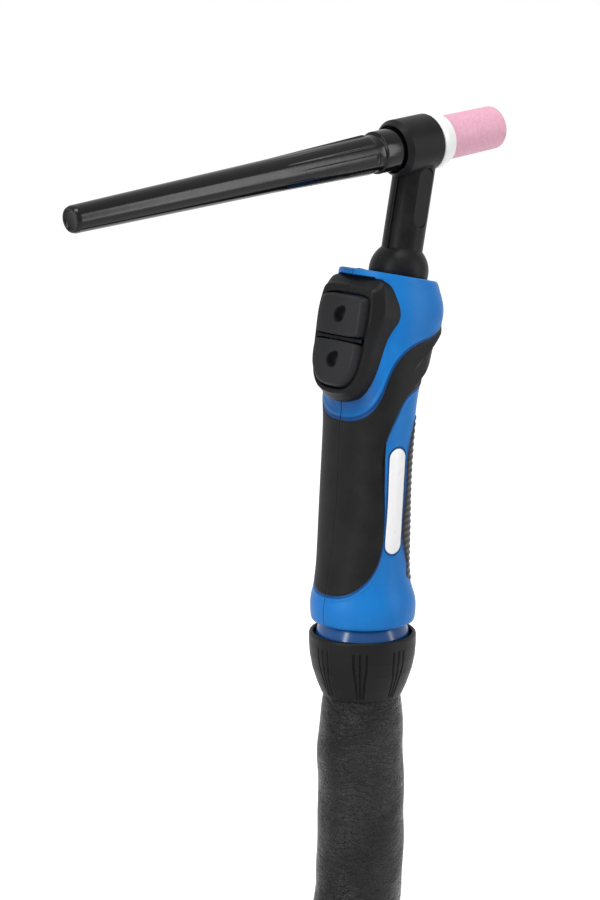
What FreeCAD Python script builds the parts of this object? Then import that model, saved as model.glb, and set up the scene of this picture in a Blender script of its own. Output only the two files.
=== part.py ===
import FreeCAD, Part
import math
import os

import Sketcher
from FreeCAD import Placement, Rotation, Vector

# A hand torch for tungsten inert gas welding, upright, in millimetres. +Z runs up the handle, +X points
# the way the gas cup points, and the far side of the switch is +X too. The origin is in the middle of
# the grip, on the handle's axis.

os.makedirs("parts", exist_ok=True)
doc = FreeCAD.newDocument("torch")

# Driving dimensions, one row of the sheet each
DRIVING = {
    # head axis: where it crosses the neck, and how far it is tilted up at the cup
    "head_x": 22.5, "head_z": 100.3, "head_tilt": 6.3, "neck_lean": 11.0,
    "head_radius": 9.5, "head_front": 3.6, "head_rear": 10.5, "head_chamfer": 1.9, "head_chamfer_step": 1.3,
    "brass_radius": 6.4, "brass_rear": 10.1, "thread_radius": 4.4, "rear_room_radius": 7.9,
    "neck_radius": 6.95, "neck_tube_radius": 3.4,
    "ball_radius": 10.05, "ball_height": 58.4, "stem_radius": 6.6, "stem_length": 15.0,
    "recess_width": 6.0, "recess_length": 20.0, "recess_depth": 0.7,
    # gas cup, size 7, and what it screws onto
    "cup_length": 30.0, "cup_tip": 35.1, "cup_back_radius": 7.5, "cup_tip_radius": 7.3, "cup_bore": 5.55,
    "gasket_front": 12.2, "gasket_tip_radius": 8.3, "gasket_floor": 1.3, "cup_clearance": 0.1,
    "collet_body_radius": 4.0, "diffuser_radius": 3.6, "diffuser_front": 21.0, "gas_hole_radius": 0.6,
    "collet_radius": 2.2, "electrode_radius": 1.2, "collet_front": 22.4, "collet_back": 6.0,
    # long back cap
    "cap_end": 143.6, "cap_collar_radius": 7.15, "cap_step": 20.3, "cap_root_radius": 6.15,
    "cap_end_radius": 4.3, "cap_bore": 2.4, "cap_rib_radius": 6.65, "cap_rib_start": 22.6,
    "cap_rib_end": 82.0, "cap_rib_end_radius": 5.0, "cap_thread": 8.0,
    "seal_section": 0.9,
    # handle
    "shell_wall": 2.6, "grip_depth": 1.2, "handle_top": 57.9, "handle_top_x": 9.1, "handle_base": 58.8,
    "switch_x": -14.0, "switch_z": 38.9, "switch_tilt": 12.0, "button_width": 9.7, "button_flare": 1.1,
    "button_height": 3.2, "button_gap": 1.0, "button_top": 13.6, "button_bottom": 15.2,
    "button_clearance": 0.3, "bar_half": 0.7, "rim_level": 2.4, "ledge_level": 6.2,
    "label_length": 36.0, "label_width": 6.6, "label_thickness": 0.5,
    "screw_radius": 1.25, "screw_head_radius": 2.4,
    # knuckle
    "knuckle_z": 67.0, "knuckle_ball_radius": 16.2, "knuckle_rim_z": 62.9, "knuckle_rim_radius": 18.2,
    "knuckle_bottom_z": 85.0, "knuckle_bottom_radius": 13.3, "knuckle_bore": 9.6, "ball_bore": 9.0,
    "spigot_radius": 14.7, "spigot_top": 52.0,
    "knuckle_clearance": 0.15, "flute_radius": 0.55,
    # lead
    "sleeve_diameter": 30.0, "sleeve_gathered": 22.0, "cable_diameter": 12.0, "control_diameter": 5.0,
}
sheet = doc.addObject("Spreadsheet::Sheet", "driving")
sheet.Label = "driving dimensions"
for row, (alias, number) in enumerate(DRIVING.items(), start=1):
    sheet.set(f"A{row}", alias)
    sheet.set(f"B{row}", str(number))
    sheet.setAlias(f"B{row}", alias)
doc.recompute()

parts = {}


def size(words):
    """The number that a sum such as "cup_tip - cup_length" stands for."""
    total, sign = 0.0, 1.0
    for word in str(words).split():
        if word in "+-":
            sign = 1.0 if word == "+" else -1.0
        else:
            total += sign * (DRIVING[word] if word in DRIVING else float(word))
            sign = 1.0
    return total


def formula(words):
    """The same sum as an expression on the sheet."""
    return " ".join(f"driving.{word}" if word in DRIVING else word for word in str(words).split())


def bind(thing, **expressions):
    for name, words in expressions.items():
        thing.setExpression(name, formula(words))


def keep(label, thing):
    """Names a finished piece, which is written out under that label."""
    thing.Label = label
    parts[label] = thing
    return thing


# Frames: along the head's axis, along the neck's, and on the sloping switch face
HEAD = Placement(Vector(size("head_x"), 0, size("head_z")), Rotation(Vector(0, 1, 0), -size("head_tilt")))
NECK_UP = Rotation(Vector(0, 1, 0), size("neck_lean")).multVec(Vector(0, 0, 1))
BALL = Vector(size("head_x") - (size("head_z") - size("ball_height")) * NECK_UP.x / NECK_UP.z,
              0, size("ball_height"))
NECK = Placement(BALL, Rotation(Vector(0, 1, 0), size("neck_lean")))
SLOPE = math.radians(size("switch_tilt"))
FACE_OUT = Vector(-math.cos(SLOPE), 0, math.sin(SLOPE))
FACE_UP = Vector(math.sin(SLOPE), 0, math.cos(SLOPE))
SWITCH = Placement(Vector(size("switch_x"), 0, size("switch_z")),
                   Rotation(Vector(0, -1, 0), FACE_UP, FACE_OUT, "ZXY"))


def set_on_head(thing):
    thing.Placement = HEAD
    bind(thing, **{"Placement.Base.x": "head_x", "Placement.Base.z": "head_z"})


def plane_of(body, role):
    return next(f for f in body.Origin.OriginFeatures if f.Role == role)


def outline(body, points, plane, name="outline", level=None):
    """A closed sketch of straight lines whose corners are tied to sums of the driving dimensions."""
    sketch = body.newObject("Sketcher::SketchObject", name)
    sketch.AttachmentSupport = [(plane_of(body, plane), "")]
    sketch.MapMode = "FlatFace"
    if level is not None:
        sketch.AttachmentOffset = Placement(Vector(0, 0, size(level)), Rotation())
        sketch.setExpression("AttachmentOffset.Base.z", formula(level))
    spots = [Vector(size(u), size(v), 0) for u, v in points]
    count = len(spots)
    for i in range(count):
        sketch.addGeometry(Part.LineSegment(spots[i], spots[(i + 1) % count]), False)
    for i in range(count):
        sketch.addConstraint(Sketcher.Constraint("Coincident", i, 2, (i + 1) % count, 1))
    for i, (u, v) in enumerate(points):
        for kind, words, axis in (("DistanceX", u, -2), ("DistanceY", v, -1)):
            value = size(words)
            if abs(value) < 1e-9:
                sketch.addConstraint(Sketcher.Constraint("PointOnObject", i, 1, axis))
            else:
                index = sketch.addConstraint(Sketcher.Constraint(kind, -1, 1, i, 1, value))
                if any(word in DRIVING for word in str(words).split()):
                    sketch.setExpression(f"Constraints[{index}]", formula(words))
    return sketch


def turned(label, points, upright=False):
    """A body turned about the head axis (along, radius) or, upright, about Z (radius, height)."""
    body = doc.addObject("PartDesign::Body", label)
    sketch = outline(body, points, "XZ_Plane" if upright else "XY_Plane")
    turn = body.newObject("PartDesign::Revolution", "turn")
    turn.Profile = sketch
    turn.ReferenceAxis = (sketch, ["V_Axis" if upright else "H_Axis"])
    turn.Angle = 360.0
    return body


def boolean(kind, label, base, *tools):
    """A cut, common or fuse of pieces that are already there."""
    if kind == "Fuse":
        thing = doc.addObject("Part::MultiFuse", label)
        thing.Shapes = [base, *tools]
    else:
        thing = doc.addObject(f"Part::{kind}", label)
        thing.Base = base
        thing.Tool = tools[0]
        thing.Refine = False
    return thing


def block(label, low, high, frame=Placement()):
    thing = doc.addObject("Part::Box", label)
    thing.Length, thing.Width, thing.Height = (b - a for a, b in zip(low, high))
    thing.Placement = frame.multiply(Placement(Vector(*low), Rotation()))
    return thing


def rod(label, radius, length, frame):
    thing = doc.addObject("Part::Cylinder", label)
    bind(thing, Radius=radius)
    thing.Height = length
    thing.Placement = frame
    return thing


# Gas cup: a straight ceramic nozzle, threaded inside at its back end
cup = turned("cup", [
    ("cup_tip - cup_length", "collet_body_radius + 0.15"), ("cup_tip - cup_length", "cup_back_radius - 0.4"),
    ("cup_tip - cup_length + 0.4", "cup_back_radius"), ("cup_tip - 0.5", "cup_tip_radius"),
    ("cup_tip", "cup_tip_radius - 0.5"), ("cup_tip", "cup_bore + 0.3"), ("cup_tip - 0.3", "cup_bore"),
    ("cup_tip - cup_length + 9.5", "cup_bore"), ("cup_tip - cup_length + 8", "collet_body_radius + 0.15")])
set_on_head(keep("gas_cup", cup))

# Gasket: a cup of white PTFE that the back of the ceramic sits in, coned outside
gasket = turned("gasket", [
    ("head_front + 0.05", "collet_body_radius + 0.25"), ("head_front + 0.05", "head_radius - 0.3"),
    ("head_front + 0.35", "head_radius"), ("head_front + 2", "head_radius"),
    ("gasket_front - 0.6", "gasket_tip_radius"), ("gasket_front", "gasket_tip_radius - 0.5"),
    ("gasket_front", "cup_back_radius + cup_clearance"),
    ("head_front + gasket_floor", "cup_back_radius + cup_clearance"),
    ("head_front + gasket_floor", "collet_body_radius + 0.25")])
set_on_head(keep("gasket", gasket))

# Brass torch head: a tube threaded at both ends, with the braze seat for the neck tube
brass = turned("brass", [
    ("0 - brass_rear", "thread_radius + 1.45"), ("0 - brass_rear", "brass_radius"),
    ("head_front", "brass_radius"), ("head_front", "collet_body_radius"), ("0", "collet_body_radius"),
    ("0", "collet_radius + 0.1"), ("0 - 2", "collet_radius + 0.1"), ("0 - 2", "thread_radius"),
    ("0 - brass_rear + 1.9", "thread_radius"), ("0 - brass_rear + 1.9", "thread_radius + 1.45")])
set_on_head(keep("torch_head", brass))

# Collet body: screwed into the front, its gas holes open into the cup
collet_body = turned("collet_body", [
    ("0.2", "collet_radius"), ("0.2", "collet_body_radius"), ("14.5", "collet_body_radius"),
    ("15.2", "diffuser_radius"), ("diffuser_front - 1.5", "diffuser_radius"),
    ("diffuser_front", "electrode_radius + 1.1"), ("diffuser_front", "electrode_radius + 0.4"),
    ("diffuser_front - 2", "collet_radius")])
gas_hole = outline(collet_body, [("16.4", "0 - gas_hole_radius"), ("17.6", "0 - gas_hole_radius"),
                                 ("17.6", "gas_hole_radius"), ("16.4", "gas_hole_radius")],
                   "XY_Plane", "gas_hole")
drill = collet_body.newObject("PartDesign::Pocket", "drill")
drill.Profile = gas_hole
drill.Type = 0
drill.Length = 5.0
doc.recompute()
ring = collet_body.newObject("PartDesign::PolarPattern", "gas_holes")
ring.Originals = [drill]
ring.Axis = (plane_of(collet_body, "X_Axis"), [""])
ring.Angle = 360.0
ring.Occurrences = 4
collet_body.Tip = ring
set_on_head(keep("collet_body", collet_body))

# Collet: a copper tube that closes on the electrode, slit at its front end
collet = turned("collet", [
    ("0 - collet_back", "electrode_radius"), ("0 - collet_back", "collet_radius - 0.05"),
    ("diffuser_front - 2.4", "collet_radius - 0.05"), ("diffuser_front - 0.8", "electrode_radius + 0.35"),
    ("collet_front", "electrode_radius + 0.35"), ("collet_front", "electrode_radius")])
slit = outline(collet, [("collet_front - 9", "0 - 0.15"), ("collet_front + 1", "0 - 0.15"),
                        ("collet_front + 1", "0.15"), ("collet_front - 9", "0.15")], "XY_Plane", "slit")
saw = collet.newObject("PartDesign::Pocket", "saw")
saw.Profile = slit
saw.Type = 1
saw.Midplane = True
doc.recompute()
turn_slit = collet.newObject("PartDesign::PolarPattern", "slits")
turn_slit.Originals = [saw]
turn_slit.Axis = (plane_of(collet, "X_Axis"), [""])
turn_slit.Angle = 180.0
turn_slit.Occurrences = 2
collet.Tip = turn_slit
set_on_head(keep("collet", collet))

# Back cap: a long tapered cap with a collar, and six ribs that fade into the taper
cap = turned("cap", [
    ("0 - cap_thread + 4", "cap_bore"), ("0 - cap_thread + 4", "thread_radius - 0.15"),
    ("0 - brass_rear - 0.1", "thread_radius - 0.15"), ("0 - brass_rear - 0.1", "cap_collar_radius - 0.4"),
    ("0 - brass_rear - 0.5", "cap_collar_radius"), ("0 - cap_step + 0.3", "cap_collar_radius - 0.1"),
    ("0 - cap_step", "cap_root_radius"), ("0 - cap_end + 1.2", "cap_end_radius"),
    ("0 - cap_end", "cap_end_radius - 1"), ("0 - cap_end + 0.7", "cap_end_radius - 1.6"),
    ("0 - cap_end + 0.9", "0"), ("0 - cap_end + 4", "0"), ("0 - cap_end + 6", "cap_bore")])
doc.recompute()
RIBS = 6
rib_cone = turned("rib_cone", [
    ("0 - cap_rib_end", "3.5"), ("0 - cap_rib_end", "cap_rib_end_radius"),
    ("0 - cap_rib_start - 1.4", "cap_rib_radius"), ("0 - cap_rib_start", "cap_rib_radius - 0.55"),
    ("0 - cap_rib_start", "3.5")])
set_on_head(rib_cone)
set_on_head(cap)
rib_gaps = []
for i in range(RIBS):
    spin = Rotation(Vector(1, 0, 0), 360.0 * i / RIBS + 10.0)
    gap = block("rib_gap", (-size("cap_rib_end") - 2, -1.5, 0), (-size("cap_rib_start") + 2, 1.5, 9),
                HEAD.multiply(Placement(Vector(), spin)))
    rib_gaps.append(gap)
gaps = boolean("Fuse", "rib_gaps", *rib_gaps)
ribs = boolean("Cut", "ribs", rib_cone, gaps)
keep("back_cap", boolean("Fuse", "back_cap", cap, ribs))

# Back cap seal: an O-ring in the rear counterbore of the brass head
seal = doc.addObject("Part::Torus", "seal")
seal.Radius1 = size("thread_radius") + 0.15 + size("seal_section") / 2 + 0.1
seal.Radius2 = size("seal_section") / 2
seal.Placement = HEAD.multiply(Placement(
    Vector(-size("brass_rear") + size("seal_section") / 2 + 0.15, 0, 0),
    Rotation(Vector(0, 1, 0), 90)))
keep("back_cap_seal", seal)

# Neck tube: copper, its top end shaped to the brass and brazed on, down through the neck to the handle
NECK_REACH = (Vector(size("head_x"), 0, size("head_z")) - BALL).Length
TUBE_TOP = NECK_REACH - 5.0
TUBE_BOTTOM = -36.0
brass_core = doc.addObject("Part::Cylinder", "brass_core")
bind(brass_core, Radius="brass_radius")
brass_core.Height = size("head_front") + size("head_rear") + size("head_chamfer") + 2
brass_core.Placement = HEAD.multiply(Placement(
    Vector(-size("head_rear") - size("head_chamfer") - 1, 0, 0), Rotation(Vector(0, 1, 0), 90)))
neck_tube_outside = rod("neck_tube_outside", "neck_tube_radius", TUBE_TOP - TUBE_BOTTOM,
                        NECK.multiply(Placement(Vector(0, 0, TUBE_BOTTOM), Rotation())))
neck_tube_bore = rod("neck_tube_bore", "neck_tube_radius - 1", TUBE_TOP - TUBE_BOTTOM + 2,
                     NECK.multiply(Placement(Vector(0, 0, TUBE_BOTTOM - 1), Rotation())))
tube_room = boolean("Fuse", "tube_room", neck_tube_bore, brass_core)
keep("neck_tube", boolean("Cut", "neck_tube", neck_tube_outside, tube_room))

# Moulded insulation: head barrel, neck and ball in one, with a long recess on each side of the neck, an
# open collar round the back cap's end and clear room for the gasket in front
barrel = turned("barrel", [
    ("0 - head_rear - head_chamfer", "0"),
    ("0 - head_rear - head_chamfer", "head_radius - head_chamfer_step"),
    ("0 - head_rear", "head_radius"), ("head_front - 0.4", "head_radius"),
    ("head_front", "head_radius - 0.4"), ("head_front", "0")])
set_on_head(barrel)
neck = rod("neck", "neck_radius", NECK_REACH - 1, NECK)
ball = doc.addObject("Part::Sphere", "ball")
bind(ball, Radius="ball_radius")
ball.Placement = NECK
stem = rod("stem", "stem_radius", size("stem_length"),
           NECK.multiply(Placement(Vector(0, 0, -size("stem_length")), Rotation())))
stem_flange = rod("stem_flange", "stem_radius + 1.6", 3.0,
                  NECK.multiply(Placement(Vector(0, 0, -size("stem_length")), Rotation())))
ridge = block("ridge", (-size("neck_radius") - 0.45, -0.6, 4), (-size("neck_radius") + 1, 0.6, NECK_REACH - 7),
              NECK)
moulding = boolean("Fuse", "moulding", barrel, neck, ball, stem, stem_flange, ridge)
rear_room = doc.addObject("Part::Cylinder", "rear_room")
bind(rear_room, Radius="rear_room_radius")
rear_room.Height = 6.0
rear_room.Placement = HEAD.multiply(Placement(Vector(-size("brass_rear") - 6, 0, 0), Rotation(Vector(0, 1, 0), 90)))
front_room = doc.addObject("Part::Cylinder", "front_room")
bind(front_room, Radius="head_radius + 0.1")
front_room.Height = 12.0
front_room.Placement = HEAD.multiply(Placement(Vector(size("head_front"), 0, 0), Rotation(Vector(0, 1, 0), 90)))
tube_core = rod("tube_core", "neck_tube_radius", TUBE_TOP - TUBE_BOTTOM + 6,
                NECK.multiply(Placement(Vector(0, 0, TUBE_BOTTOM), Rotation())))
recess_tools = []
RECESS_BOTTOM = 15.0
for side in (-1, 1):
    depth = size("neck_radius") - size("recess_depth")
    near, far = sorted((side * depth, side * (depth + 4)))
    half = size("recess_width") / 2
    slot = block("slot", (-half, near, RECESS_BOTTOM + half),
                 (half, far, RECESS_BOTTOM + size("recess_length") - half), NECK)
    recess_tools.append(slot)
    for height in (RECESS_BOTTOM + half, RECESS_BOTTOM + size("recess_length") - half):
        end = doc.addObject("Part::Cylinder", "recess_end")
        end.Radius = half
        end.Height = far - near
        end.Placement = NECK.multiply(Placement(Vector(0, far, height), Rotation(Vector(1, 0, 0), 90)))
        recess_tools.append(end)
hollow = boolean("Fuse", "hollow", brass_core, tube_core, rear_room, front_room, *recess_tools)
keep("torch_insulation", boolean("Cut", "torch_insulation", moulding, hollow))

# Handle form: full ovals up the handle, each row height, front, back, half width, fullness
STATIONS = [
    (-58.8, -17.6, 17.6, 17.6, 2.0), (-55.0, -17.9, 17.9, 17.9, 2.0), (-51.0, -17.7, 17.6, 17.7, 2.0),
    (-47.0, -16.8, 16.2, 16.5, 2.05), (-43.0, -16.0, 15.2, 15.8, 2.1), (-35.0, -14.7, 14.2, 15.7, 2.2),
    (-24.0, -13.0, 13.1, 16.0, 2.4), (-11.0, -12.0, 12.9, 16.2, 2.4), (2.0, -11.3, 13.7, 16.2, 2.4),
    (11.0, -11.3, 14.8, 16.3, 2.35), (20.0, -11.6, 16.4, 16.5, 2.35), (30.0, -9.8, 20.6, 16.8, 2.35),
    (38.0, -8.2, 25.2, 17.1, 2.35), (46.0, -7.0, 27.7, 17.0, 2.35), (55.0, -6.5, 25.4, 15.9, 2.3),
    (63.0, -6.3, 24.0, 15.2, 2.2)]
ROUND_POINTS = 20


def oval(height, front, back, half_width, fullness, inset):
    """A superellipse across the handle, as a closed spline through points worked out from it."""
    middle, depth, width = (front + back) / 2, (back - front) / 2 - inset, half_width - inset
    points = []
    for i in range(ROUND_POINTS):
        angle = 2 * math.pi * (i + 0.5) / ROUND_POINTS
        c, s = math.cos(angle), math.sin(angle)
        points.append(Vector(middle + math.copysign(abs(c) ** (2 / fullness), c) * depth,
                             math.copysign(abs(s) ** (2 / fullness), s) * width, height))
    curve = Part.BSplineCurve()
    curve.interpolate(Points=points, PeriodicFlag=True, Parameters=list(range(ROUND_POINTS + 1)))
    return Part.Wire([curve.toShape()])


def handle_form(label, inset):
    thing = doc.addObject("Part::Feature", label)
    thing.Shape = Part.makeLoft([oval(*row, inset) for row in STATIONS], True, False)
    return thing


outer_form = handle_form("outer_form", 0.0)
label_form = handle_form("label_form", size("label_thickness"))
under_form = handle_form("under_form", size("grip_depth"))
SCALES, SCALE_PITCH, SCALE_WIDE, SCALE_DEPTH = 4, 6.2, 1.0, 0.6
SCALE_X, SCALE_TOP, SCALE_TURN = 20.0, 37.6, 34.0
RIB_PITCH, RIB_DEPTH, RIB_LOW, RIB_HIGH = 2.2, 0.4, -44.5, 10.0
inner_form = handle_form("inner_form", size("shell_wall"))
top_plane = Placement(Vector(size("handle_top_x"), 0, size("handle_top")),
                      Rotation(Vector(0, 1, 0), size("neck_lean")))
above_top = block("above_top", (-45, -30, 0), (45, 30, 30), top_plane)
above_lid = block("above_lid", (-45, -30, -size("shell_wall")), (45, 30, 30), top_plane)
handle_block = boolean("Cut", "handle_block", outer_form, above_top)
left_space = block("left_space", (-60, 0, -70), (60, 40, 80))
right_space = block("right_space", (-60, -40, -70), (60, 0, 80))
SIDES = {"left": left_space, "right": right_space}


def side_zone(label, *lines):
    """A region drawn on the side view (x, z) by smooth lines joined end to end, run across the handle."""
    edges = []
    for line in lines:
        curve = Part.BSplineCurve()
        curve.interpolate(Points=[Vector(x, -30, z) for x, z in line])
        edges.append(curve)
    rim = []
    for i, curve in enumerate(edges):
        after = edges[(i + 1) % len(edges)]
        rim += [curve.toShape(), Part.makeLine(curve.EndPoint, after.StartPoint)]
    thing = doc.addObject("Part::Feature", label)
    thing.Shape = Part.Face(Part.Wire(rim)).extrude(Vector(0, 60, 0))
    return thing


# Grip: front panel, the band that climbs to the back and the thumb rest, moulded 1.2 mm into the shell
grip_zone = side_zone("grip_zone",
                      [(-30.0, 8.0), (-13.0, 9.8), (-8.6, 14.6), (-4.9, 22.4), (-1.4, 30.0), (4.0, 35.2),
                       (14.0, 38.2), (30.0, 44.5)],
                      [(30.0, 24.5), (14.0, 22.0), (3.4, 19.2), (-1.2, 12.6), (-5.0, 3.0), (-5.7, -12.0),
                       (-5.9, -33.0), (-7.6, -38.4), (-12.2, -44.6), (-16.0, -47.6), (-30.0, -49.5)])
grip_tool = boolean("Cut", "grip_tool", grip_zone, under_form)
grip_plain = boolean("Common", "grip_plain", outer_form, grip_tool)

# Thumb rest: steps across the back of the band, each a shallow groove that runs down and forward
scale_form = handle_form("scale_form", SCALE_DEPTH)
scale_bars = []
for i in range(SCALES):
    frame = Placement(Vector(SCALE_X, 0, SCALE_TOP - SCALE_PITCH * i), Rotation(Vector(0, 1, 0), -SCALE_TURN))
    scale_bars.append(block("scale_bar", (-7.0, -20.0, -SCALE_WIDE / 2), (14.0, 20.0, SCALE_WIDE / 2), frame))
scales = boolean("Fuse", "scales", *scale_bars)
scale_tool = boolean("Cut", "scale_tool", scales, scale_form)
grip_skin = boolean("Cut", "grip_skin", grip_plain, scale_tool)

# Rear pad: the lower back of the grip, with fine ribs across
rear_zone = side_zone("rear_zone",
                      [(30.0, 14.6), (13.0, 12.0), (8.0, 8.5), (5.2, 1.5), (3.9, -12.0), (3.8, -32.0),
                       (6.5, -38.5), (13.0, -45.5), (30.0, -48.5)])
rear_tool = boolean("Cut", "rear_tool", rear_zone, under_form)
rear_plain = boolean("Common", "rear_plain", outer_form, rear_tool)
rib_form = handle_form("rib_form", RIB_DEPTH)
rib_bars = []
for i in range(int((RIB_HIGH - RIB_LOW) / RIB_PITCH)):
    level = RIB_LOW + RIB_PITCH * i
    rib_bars.append(block("rib_bar", (0.0, -20.0, level), (30.0, 20.0, level + RIB_PITCH / 2)))
rib_gaps_all = boolean("Fuse", "pad_gaps", *rib_bars)
rib_tool = boolean("Cut", "rib_tool", rib_gaps_all, rib_form)
rear_skin = boolean("Cut", "rear_skin", rear_plain, rib_tool)

# Label plate: a thin oval let into the right side
LABEL_MIDDLE = (-0.6, -15.5)
LABEL_LEAN = 2.5
label_frame = Placement(Vector(LABEL_MIDDLE[0], 0, LABEL_MIDDLE[1]), Rotation(Vector(0, 1, 0), LABEL_LEAN))
half = size("label_width") / 2
straight = size("label_length") / 2 - half
label_bar = block("label_bar", (-half, -30, -straight), (half, -5, straight), label_frame)
label_ends = []
for height in (-straight, straight):
    end = doc.addObject("Part::Cylinder", "label_end")
    end.Radius = half
    end.Height = 25.0
    end.Placement = label_frame.multiply(Placement(Vector(0, -5, height), Rotation(Vector(1, 0, 0), 90)))
    label_ends.append(end)
label_zone = boolean("Fuse", "label_zone", label_bar, *label_ends)
label_tool = boolean("Cut", "label_tool", label_zone, label_form)
keep("label_plate", boolean("Common", "label_plate", outer_form, label_tool))

# Switch bezel: a hump on the front, drawn on the switch face, with an opening for each cap
LEDGE = [(0, 21.4), (9.4, 21.2), (12.0, 20.4), (13.5, 18.4), (15.7, 10.0), (14.0, 4.2), (13.3, 0.6),
         (12.8, -5.2), (11.8, -11.4), (10.2, -15.8), (7.2, -19.4), (0, -21.0)]
RIM = [(0, 17.5), (9.4, 17.3), (11.4, 16.4), (12.0, 14.6), (12.8, 9.0), (12.6, 4.2), (12.3, 0.6),
       (11.9, -5.6), (10.8, -11.4), (9.2, -14.8), (6.4, -17.4), (0, -18.4)]
BEZEL_DEEP = -15.2


def face_wire(points, level):
    """A closed outline on the switch face, mirrored about its middle."""
    full = points + [(-u, v) for u, v in reversed(points[1:-1])]
    spots = [SWITCH.multVec(Vector(u, v, level)) for u, v in full]
    return Part.makePolygon(spots + spots[:1])


def face_loft(label, *rows):
    """A solid through outlines (points, level) on the switch face."""
    thing = doc.addObject("Part::Feature", label)
    thing.Shape = Part.makeLoft([face_wire(points, level) for points, level in rows], True, True)
    return thing


def cap_outline(flare, divider, end, rounded):
    """Half of a button cap's outline, from its edge at the divider to its far end. Only the sides and the
    far end flare; the lower cap narrows to a round end."""
    side = size("button_width") + flare
    if rounded:
        return [(0, divider), (side - 0.8, divider), (side, divider - 0.8), (side, end + 8.2),
                (side - 1.0, end + 4.6 - flare * 0.5), (side - 3.6, end + 1.5 - flare * 0.8),
                (side - 6.4, end + 0.2 - flare), (0, end - flare)]
    return [(0, end + flare), (side - 1.6, end + flare), (side, end + flare - 1.6), (side, divider + 0.8),
            (side - 0.8, divider), (0, divider)]


CAPS = {"upper": (size("button_gap"), size("button_top"), False),
        "lower": (-size("button_gap"), -size("button_bottom"), True)}
FLARE, ROOM = size("button_flare"), size("button_clearance")
SKIRT_END = -8.0
bezel_form = face_loft("bezel_form", (LEDGE, BEZEL_DEEP), (LEDGE, -size("ledge_level")),
                       (RIM, -size("rim_level")))
bezel_zone = face_loft("bezel_zone", (LEDGE, BEZEL_DEEP), (LEDGE, 12.0))
openings = []
for name, (divider, end, rounded) in CAPS.items():
    hole = cap_outline(FLARE + ROOM, divider - math.copysign(ROOM, divider), end, rounded)
    openings.append(face_loft(f"{name}_opening", (hole, -20.0), (hole, 10.0)))
switch_opening = boolean("Fuse", "switch_opening", *openings)
bezel_cavity = boolean("Fuse", "bezel_cavity", switch_opening, inner_form)
bezel_solid = boolean("Cut", "bezel_solid", bezel_form, bezel_cavity)
crossbar = block("crossbar", (-size("button_width") - 2.4, -size("bar_half"), -7.0),
                 (size("button_width") + 2.4, size("bar_half"), -1.0), SWITCH)
bezel_barred = boolean("Fuse", "bezel_barred", bezel_solid, crossbar)
bezel_all = boolean("Cut", "bezel_all", bezel_barred, above_top)

# Button caps: soft moulded caps with a dimple each, a skirt in the bezel and a pin to the microswitch
DIMPLE_RADIUS, DIMPLE_DEPTH, DIMPLE_PLACE = 4.5, 1.4, 7.5
PIN_RADIUS, PIN_END = 0.9, -11.0
SWITCH_TOP = -9.4
for name, shape in CAPS.items():
    place = DIMPLE_PLACE if name == "upper" else -DIMPLE_PLACE
    crown = face_loft(f"{name}_crown", (cap_outline(FLARE, *shape), SKIRT_END),
                      (cap_outline(FLARE, *shape), -size("button_height")),
                      (cap_outline(0.5, *shape), -0.7), (cap_outline(-0.1, *shape), 0.0))
    dimple = doc.addObject("Part::Sphere", f"{name}_dimple")
    dimple.Radius = DIMPLE_RADIUS
    dimple.Placement = SWITCH.multiply(
        Placement(Vector(0, place, DIMPLE_RADIUS - DIMPLE_DEPTH), Rotation()))
    dimpled = boolean("Cut", f"{name}_dimpled", crown, dimple)
    pin = doc.addObject("Part::Cylinder", f"{name}_pin")
    pin.Radius = PIN_RADIUS
    pin.Height = SKIRT_END - PIN_END + 0.5
    pin.Placement = SWITCH.multiply(Placement(Vector(0, place, PIN_END), Rotation()))
    keep(f"button_{name}", boolean("Fuse", f"button_{name}", dimpled, pin))
    case = block(f"{name}_case", (-6.4, place - 3.2, SWITCH_TOP - 4.6), (6.4, place + 3.2, SWITCH_TOP), SWITCH)
    pin_hole = doc.addObject("Part::Cylinder", f"{name}_pin_hole")
    pin_hole.Radius = PIN_RADIUS + 0.25
    pin_hole.Height = 4.0
    pin_hole.Placement = SWITCH.multiply(Placement(Vector(0, place, SWITCH_TOP - 3.6), Rotation()))
    keep(f"microswitch_{name}", boolean("Cut", f"microswitch_{name}", case, pin_hole))

# Switch board: carries both microswitches, its edges on ledges of the shell
keep("switch_board", block("switch_board", (-8.6, -13.0, SWITCH_TOP - 6.1), (8.6, 12.6, SWITCH_TOP - 4.6),
                           SWITCH))

# Shell: the form less its inside, the grip, the pad, the label and the bezel, with two screw posts
POSTS = {"upper": (22.0, 47.5), "lower": (9.8, -48.0)}
SCREW_FOOT, SCREW_SEAT, SCREW_TOP = -8.0, 9.0, 10.6


def across(label, radius, low, high, place):
    """A round bar across the handle, from one y to another."""
    thing = doc.addObject("Part::Cylinder", label)
    thing.Radius = radius
    thing.Height = high - low
    thing.Placement = Placement(Vector(place[0], high, place[1]), Rotation(Vector(1, 0, 0), 90))
    return thing


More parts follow.
